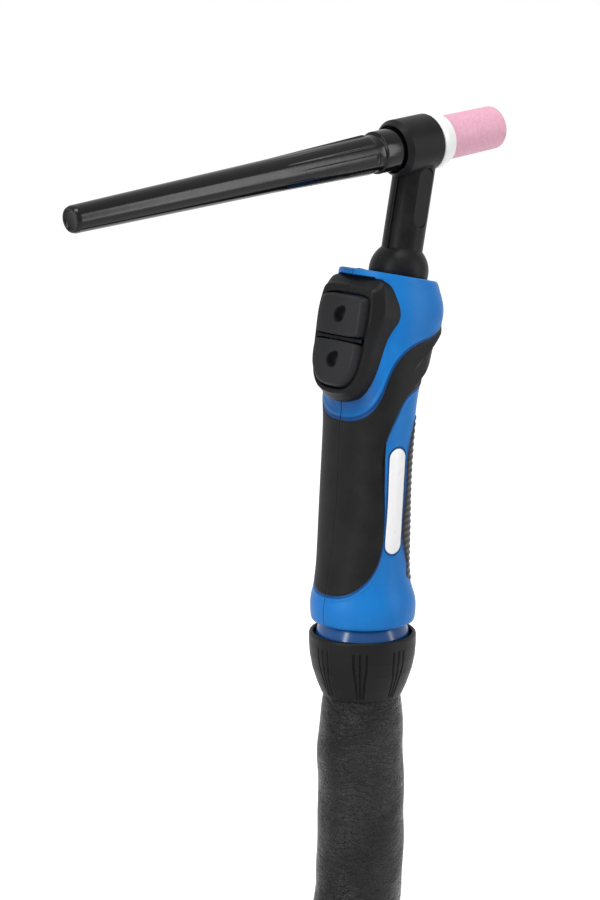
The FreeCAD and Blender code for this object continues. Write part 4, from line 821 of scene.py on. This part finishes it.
# Label: a bare white film under clear plastic, in an oval recess of the right shell. It stands a little
# proud, with a rounded edge all round.
bare_white = Finish("bare white label", (0.84, 0.84, 0.85), 0.28, {"Coat Weight": 0.3})
bare_white.set("Roughness", 0.24 + 0.1 * bare_white.grain(4.0, 2.0))
angle = np.linspace(0, 2 * np.pi, 96, endpoint=False)[None, :]
ring = np.array([1.0, 0.985, 0.94, 0.8, 0.6, 0.4, 0.2, 0.02])[:, None]
raised = np.array([-0.3, 0.1, 0.18, 0.19, 0.2, 0.2, 0.2, 0.2])[:, None] + 0.0 * angle
label_across = ring * LABEL_HALF * np.cos(angle)
label_up = ring * (LABEL_HALF * np.sin(angle) + LABEL_STRAIGHT * np.sign(np.sin(angle) + 1e-9))
label_x = LABEL_X + label_across * math.cos(LABEL_LEAN) + label_up * math.sin(LABEL_LEAN)
label_z = LABEL_Z - label_across * math.sin(LABEL_LEAN) + label_up * math.cos(LABEL_LEAN)
label = skin("label_white", on_handle(-angle_at(label_x, label_z), label_z, raised), bare_white,
             closed=(False, True), ends=(False, True), sharp=60.0)
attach(label, "torch")
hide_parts("label_plate")

# Switch bezel and buttons: satin black mouldings on the handle's sloping front. Their shapes are drawn
# on that face, with u to the torch's right, v up the face and a level out from it.
RIM = [(0, 17.5), (9.4, 17.3), (11.4, 16.4), (12.0, 14.6), (12.8, 9.0), (12.6, 4.2), (12.3, 0.6),
       (11.9, -5.6), (10.8, -11.4), (9.2, -14.8), (6.4, -17.4), (0, -18.4)]
WIDTH, FLARE, ROOM = 9.7, 1.1, 0.3


def cap_outline(flare, divider, end, rounded):
    """Half a button's outline, from the divider to its far end; the lower one narrows to a round end."""
    side = WIDTH + flare
    if rounded:
        return [(0, divider), (side - 0.8, divider), (side, divider - 0.8), (side, end + 8.2),
                (side - 1.0, end + 4.6 - flare * 0.5), (side - 3.6, end + 1.5 - flare * 0.8),
                (side - 6.4, end + 0.2 - flare), (0, end - flare)]
    return [(0, end + flare), (side - 1.6, end + flare), (side, end + flare - 1.6), (side, divider + 0.8),
            (side - 0.8, divider), (0, divider)]


def on_face(flat, level):
    """Points drawn on the switch face, at a level out from it."""
    origin, right, up, out = FACE
    return origin + flat[..., :1] * right + flat[..., 1:] * up + level * out


satin = Finish("satin black moulding", (0.006, 0.006, 0.0066), 0.38, {"Specular IOR Level": 0.13})
satin.set("Roughness", 0.36 + 0.16 * satin.grain(4.0, 3.0))
satin.relief(0.035 * satin.grain(0.4, 3.0) - 0.4 * satin.seam())
bearing = np.linspace(0, 2 * np.pi, 240, endpoint=False)
centre = np.array([0.0, -0.6])
outer, rim = (as_rays(outlined(line), centre, bearing) for line in (LEDGE, RIM))
past = FLARE + ROOM
wall = WIDTH + past
well_half = [(0, 13.6 + past), (wall - 1.6, 13.6 + past), (wall, 13.0 + past - 1.6), (wall, 0.0),
             (wall, -7.0), (wall - 1.0, -11.2), (wall - 3.6, -14.9), (wall - 6.4, -16.4), (0, -15.2 - past)]
well = as_rays(outlined(well_half, rounds=2), centre, bearing)
rows = [on_face(outer, -14.0), on_face(outer, BEZEL_FOOT), on_face(outer, -6.9),
        on_face(outer * 0.985 + rim * 0.015, -6.3)]
for share in np.linspace(0.08, 0.8, 7):
    rows.append(on_face(outer * (1 - share) + rim * share, -6.1 + 3.3 * share ** 0.8))
for share, height in ((0.9, -2.68), (0.97, -2.5), (1.0, -2.42)):
    rows.append(on_face(outer * (1 - share) + rim * share, height))
for share, height in ((0.35, -2.38), (0.8, -2.42), (0.97, -2.6), (1.0, -2.85)):
    rows.append(on_face(rim * (1 - share) + well * share, height))
rows.append(on_face(well, -8.0))
bezel = skin("switch_bezel_satin", np.array(rows), satin, closed=(False, True), sharp=50.0)
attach(bezel, "torch")
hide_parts("switch_bezel_left", "switch_bezel_right")

button_rubber = Finish("button rubber", (0.015, 0.015, 0.0168), 0.46, {"Specular IOR Level": 0.16})
button_rubber.set("Roughness", 0.42 + 0.18 * button_rubber.grain(5.0, 3.0))
button_rubber.relief(0.03 * button_rubber.grain(0.4, 3.0))
DIMPLE, DIMPLE_DEEP = 7.5, 4.0
for name, place, shape in (("upper", DIMPLE, (1.0, 13.6, False)), ("lower", -DIMPLE, (-1.0, -15.2, True))):
    middle = np.array([0.0, place])
    foot, fold, brow, crown = (as_rays(outlined(cap_outline(flare, *shape), rounds=2), middle, bearing)
                               for flare in (FLARE, FLARE, 0.5, -0.1))
    rows = [on_face(foot, -8.0), on_face(foot, -3.9), on_face(fold * 0.995 + middle * 0.005, -3.3),
            on_face(fold * 0.985 + middle * 0.015, -3.0), on_face(brow, -0.85),
            on_face(brow * 0.4 + crown * 0.6, -0.35), on_face(crown * 0.99 + middle * 0.01, -0.08)]
    drop_shape = 2.6 + 1.2 * np.exp(-((bearing - 0.9) / 0.6) ** 2)
    circle = middle + drop_shape[:, None] * np.stack([np.cos(bearing), np.sin(bearing)], -1)
    for share in (0.15, 0.4, 0.7, 0.92):
        rows.append(on_face(crown * (1 - share) + circle * share, 0.0))
    for share, depth in ((1.0, 0.0), (0.95, -0.2), (0.9, -0.8), (0.84, -2.0), (0.72, -3.0), (0.45, -3.7),
                         (0.1, -DIMPLE_DEEP)):
        rows.append(on_face(middle + (circle - middle) * share, depth))
    button = skin(f"button_{name}_cap", np.array(rows), button_rubber, closed=(False, True),
                  ends=(True, True), sharp=50.0)
    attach(button, f"button_{name}")
    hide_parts(f"button_{name}")

# Divider: the moulded bar of the bezel between the two buttons. It lies below their tops, so that a finger
# feels two separate caps.
bar_rows = []
for v, height in ((-0.7, -8.0), (-0.7, -2.2), (-0.45, -1.9), (0.45, -1.9), (0.7, -2.2), (0.7, -8.0)):
    bar_rows.append(on_face(np.stack([np.linspace(-10.9, 10.9, 30), np.full(30, v)], -1), height))
bar = skin("bezel_bar", np.array(bar_rows), satin, sharp=40.0)
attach(bar, "torch")

# Switch board, microswitches, screws, ferrule and clamp: bought parts, all inside the handle or the
# knuckle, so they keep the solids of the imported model.
board_green = Finish("solder mask", (0.02, 0.16, 0.06), 0.35)
board_green.relief(0.01 * board_green.grain(0.8))
dress("switch_board", board_green)
for name in ("microswitch_upper", "microswitch_lower"):
    dress(name, satin)
plated = Finish("plated steel", (0.60, 0.60, 0.61), 0.3, {"Metallic": 1.0})
plated.set("Roughness", 0.25 + 0.2 * plated.grain(0.8, 3.0))
for name in ("handle_screws", "crimp_ferrule", "sleeve_clamp"):
    dress(name, plated)

# Knuckle ball: a glossy ball of a darker blue, held by its spigot between the shells. Only a ring of it
# shows, between the handle's foot and the cup.
deep_blue = Finish("knuckle blue", (0.003, 0.07, 0.24), 0.2, {"Specular IOR Level": 0.35})
deep_blue.relief(0.01 * deep_blue.grain(4.0))
dress("knuckle_ball", deep_blue)

# Knuckle cup: the black socket that snaps over the ball and turns with the lead. It's moulded in a tough
# nylon, with a rounded rim and narrow grip flutes in groups of three that draw together lower down.
CUP_LINE = np.array([
    (-85.0, 13.3), (-84.4, 13.8), (-80.6, 15.4), (-75.5, 17.05), (-71.0, 17.9), (-67.0, 18.2),
    (-63.9, 18.2), (-63.3, 18.05), (-62.95, 17.6), (-62.9, 17.2), (-63.4, 16.75), (-66.9, 16.45)])
FLUTES, FLUTE_APART, FLUTE_DEEP, FLUTE_WIDE = 8, math.radians(7.0), 0.5, 0.5
reach = np.concatenate([[0.0], np.cumsum(np.linalg.norm(np.diff(CUP_LINE, axis=0), axis=1))])
even = np.linspace(0.0, reach[-1], 150)
line = np.stack([np.interp(even, reach, CUP_LINE[:, i]) for i in (0, 1)], -1)
line = np.vstack([line[:1], (line[:-2] + 2 * line[1:-1] + line[2:]) / 4, line[-1:]])
angle = np.linspace(0, 2 * np.pi, 900, endpoint=False)[None, :]
height, around = line[:, :1], line[:, 1:]
sector = 2 * np.pi / FLUTES
within = (angle + sector / 2) % sector - sector / 2
draw = np.interp(height, [-84.0, -77.0, -72.5, -66.0], [0.55, 0.72, 1.0, 1.0])
deep = np.zeros_like(within * height)
for k in (-1, 0, 1):
    off = np.abs(within - k * FLUTE_APART * draw) * around
    deep += FLUTE_DEEP * np.exp(-(off / (FLUTE_WIDE * 0.62)) ** 4)
outside = (np.arange(len(line)) < 112)[:, None]
window = np.clip((height + 84.2) / 1.2, 0, 1) * np.clip((-66.2 - height) / 1.0, 0, 1) * outside
radius = around - deep * window
knuckle_nylon = Finish("knuckle nylon", (0.005, 0.005, 0.0054), 0.4, {"Specular IOR Level": 0.14})
knuckle_nylon.set("Roughness", 0.38 + 0.16 * knuckle_nylon.grain(3.0, 3.0))
knuckle_nylon.relief(0.035 * knuckle_nylon.grain(0.4, 3.0))
knuckle = skin("knuckle_cup_fluted", ringed(UPRIGHT, height + 0.0 * angle, radius, angle + 0.0 * height),
               knuckle_nylon, closed=(False, True), sharp=50.0)
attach(knuckle, "knuckle")
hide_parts("knuckle_cup")

# Floor and light: a pale floor under a plain white surround. A tall narrow lamp on the left and a weaker
# one on the right draw long highlights down the black pieces, and a square one hangs overhead.
ground = bpy.data.meshes.new("floor")
FLOOR_HALF = 14.0
ground.from_pydata([(x * FLOOR_HALF, y * FLOOR_HALF, FLOOR * MM)
                    for x, y in ((-1, -1), (1, -1), (1, 1), (-1, 1))], [], [(0, 1, 2, 3)])
floor = bpy.data.objects.new("floor", ground)
bpy.context.collection.objects.link(floor)
pale = Finish("pale floor", (0.86, 0.86, 0.86), 0.8, {"Specular IOR Level": 0.1})
seen, mirrored, through = (pale.node("ShaderNodeLightPath", output=f"Is {way} Ray")
                           for way in ("Camera", "Glossy", "Transmission"))
pale.set("Emission Color", (1.0, 1.0, 1.0, 1.0))
pale.set("Emission Strength", 0.74 * seen.math("MAXIMUM", seen.math("MAXIMUM", seen, mirrored), through))
ground.materials.append(pale.material)
floor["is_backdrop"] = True

world = bpy.data.worlds.new("surround")
bpy.context.scene.world = world
world.use_nodes = True
tree = world.node_tree
sky = tree.nodes["Background"]
paths = tree.nodes.new("ShaderNodeLightPath")
visible = paths.outputs["Is Camera Ray"]
for way in ("Is Transmission Ray", "Is Glossy Ray"):
    either = tree.nodes.new("ShaderNodeMath")
    either.operation = "MAXIMUM"
    tree.links.new(visible, either.inputs[0])
    tree.links.new(paths.outputs[way], either.inputs[1])
    visible = either.outputs[0]
SKY_LIGHT, SKY_SEEN = 0.32, 1.0
strength = tree.nodes.new("ShaderNodeMapRange")
strength.inputs["To Min"].default_value = SKY_LIGHT
strength.inputs["To Max"].default_value = SKY_SEEN
tree.links.new(visible, strength.inputs["Value"])
tree.links.new(strength.outputs[0], sky.inputs["Strength"])
sky.inputs["Color"].default_value = (1.0, 1.0, 1.0, 1.0)


def lamp(name, place, aim, size, power):
    data = bpy.data.lights.new(name, "AREA")
    data.shape = "RECTANGLE"
    data.size, data.size_y = size
    data.energy = power
    thing = bpy.data.objects.new(name, data)
    thing.location = place
    thing.rotation_mode = "QUATERNION"
    thing.rotation_quaternion = (Vector(aim) - Vector(place)).to_track_quat("-Z", "Y")
    bpy.context.collection.objects.link(thing)


lamp("key lamp", (-1.5, -0.1, 0.7), (0.0, 0.0, 0.0), (0.2, 1.5), 19.0)
lamp("fill lamp", (0.9, -1.3, 0.3), (0.0, 0.0, 0.0), (0.25, 1.5), 9.0)
lamp("top lamp", (-0.2, -0.3, 1.5), (0.0, 0.0, 0.0), (0.6, 0.6), 12.0)

low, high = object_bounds()
